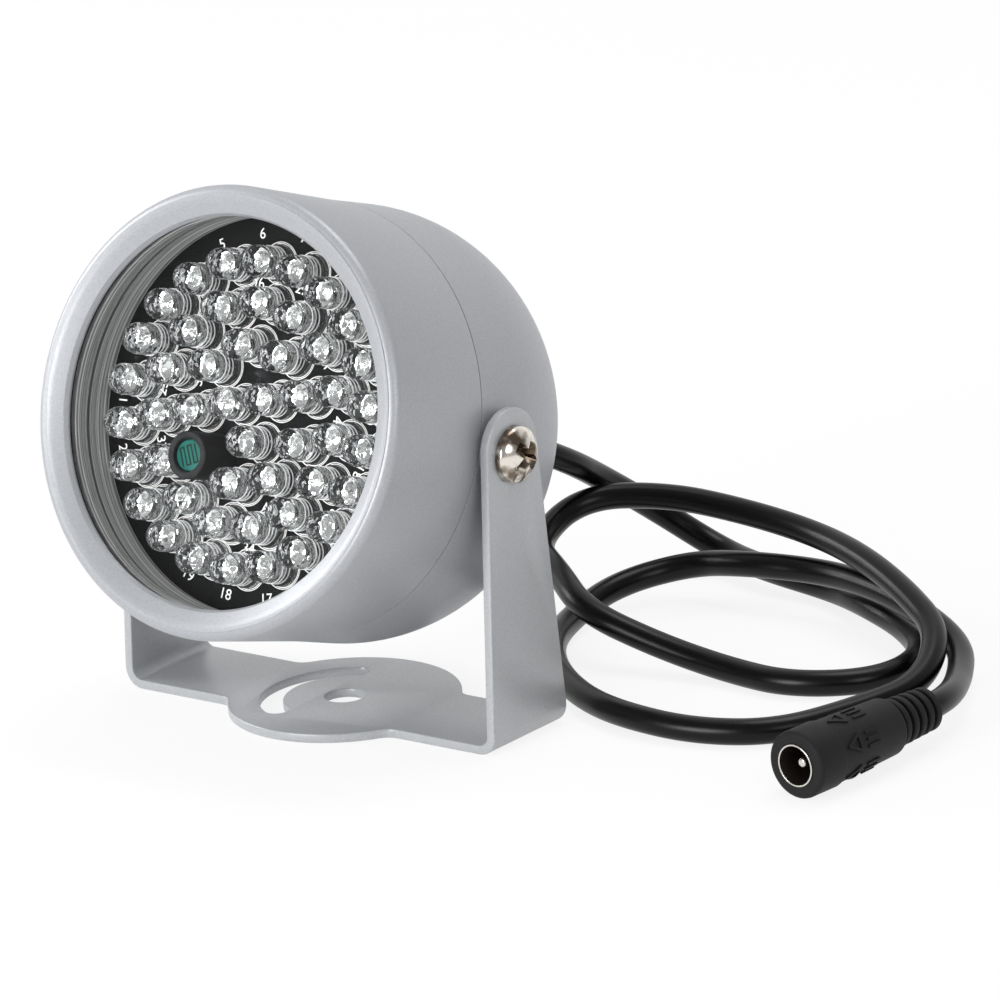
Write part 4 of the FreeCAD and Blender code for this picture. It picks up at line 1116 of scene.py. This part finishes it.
# %% [markdown]
# ## Floor, sky and lamps
# A product picture stands on white. The floor and the sky look white to the camera, to mirrors and
# through glass, but they light the object only moderately, so its own colours stay. The floor is
# mixed with a plain pale surface, which keeps a faint shadow. Behind the camera the studio is
# darker, so that the nickel and the black sheath have something dark to mirror.

# %% Floor and sky
FLOOR_GLOW = 0.84
FLOOR_REACH = 3  # metres from the middle to each edge
SKY_LIGHT = 0.55
DARK_STUDIO = 0.36
FADE_FROM, FADE_TO = -0.75, 0.1  # from the backdrop to the dark side, as cosines to the camera
WHITE = (1, 1, 1, 1)


def larger(tree, first, second):
    """The larger of two outputs."""
    node = tree.nodes.new("ShaderNodeMath")
    node.operation = "MAXIMUM"
    tree.links.new(first, node.inputs[0])
    tree.links.new(second, node.inputs[1])
    return node.outputs[0]


def seen_ray(tree):
    """The light path, and 1 for its rays from the camera, from a mirror or through glass, else 0."""
    path = tree.nodes.new("ShaderNodeLightPath")
    total = path.outputs["Is Camera Ray"]
    for ray in ("Is Glossy Ray", "Is Transmission Ray"):
        total = larger(tree, total, path.outputs[ray])
    return path, total


def mix_surface(tree, share, first, second, end):
    """Mixes two shaders by a share of the second, and links them to the end node."""
    mix = tree.nodes.new("ShaderNodeMixShader")
    tree.links.new(share, mix.inputs["Fac"])
    tree.links.new(first.outputs[0], mix.inputs[1])
    tree.links.new(second.outputs[0], mix.inputs[2])
    tree.links.new(mix.outputs[0], tree.nodes[end].inputs["Surface"])


floor_paper = finish("pale_floor_paper", "F2F2F2", 0, 0.9, {"Specular IOR Level": 0.0})
tree = floor_paper.node_tree
glow = tree.nodes.new("ShaderNodeEmission")
glow.inputs["Color"].default_value = WHITE
_, seen = seen_ray(tree)
share = tree.nodes.new("ShaderNodeMath")
share.operation = "MULTIPLY"
share.inputs[1].default_value = FLOOR_GLOW
tree.links.new(seen, share.inputs[0])
mix_surface(tree, share.outputs[0], tree.nodes["Principled BSDF"], glow, "Material Output")

bm = bmesh.new()
bmesh.ops.create_grid(bm, x_segments=1, y_segments=1, size=FLOOR_REACH)
floor = add_object("floor", mesh_of(bm, "floor"))
floor.data.materials.append(floor_paper)

world = bpy.data.worlds.new("studio")
bpy.context.scene.world = world
world.use_nodes = True
tree = world.node_tree
light = tree.nodes["Background"]
light.inputs["Color"].default_value = WHITE
light.inputs["Strength"].default_value = SKY_LIGHT
view = tree.nodes.new("ShaderNodeBackground")
view.inputs["Color"].default_value = WHITE
path, seen = seen_ray(tree)
direction = tree.nodes.new("ShaderNodeTexCoord")
to_camera = Vector((back.x, back.y, 0)).normalized()
fade = tree.nodes.new("ShaderNodeMapRange")
fade.inputs["From Min"].default_value = FADE_FROM
fade.inputs["From Max"].default_value = FADE_TO
fade.inputs["To Min"].default_value = 1.0
fade.inputs["To Max"].default_value = DARK_STUDIO
tree.links.new(along(tree, direction.outputs["Generated"], to_camera), fade.inputs["Value"])
strength = larger(tree, fade.outputs["Result"], path.outputs["Is Camera Ray"])
tree.links.new(strength, view.inputs["Strength"])
mix_surface(tree, seen, light, view, "World Output")
print("floor and sky made")

# %% Lamps
LAMPS = {
    "front": ((-80, -960, 290), 460, 6.3),
    "left": ((-900, -290, 390), 460, 4.8),
    "side": ((820, -330, 420), 420, 1.4),
    "top": ((60, 260, 900), 520, 2.8),
}  # place in millimetres, size in millimetres, power in watts
for name, (place, size, power) in LAMPS.items():
    lamp_data = bpy.data.lights.new(name, "AREA")
    lamp_data.shape = "DISK"
    lamp_data.size = size * MM
    lamp_data.energy = power
    lamp = add_object(name, lamp_data)
    where = Vector(place) * MM
    aim = (TARGET - where).to_track_quat("-Z", "Y")
    lamp.matrix_world = Matrix.Translation(where) @ aim.to_matrix().to_4x4()
bpy.context.scene.view_settings.view_transform = "Standard"
print("lamps", list(LAMPS))
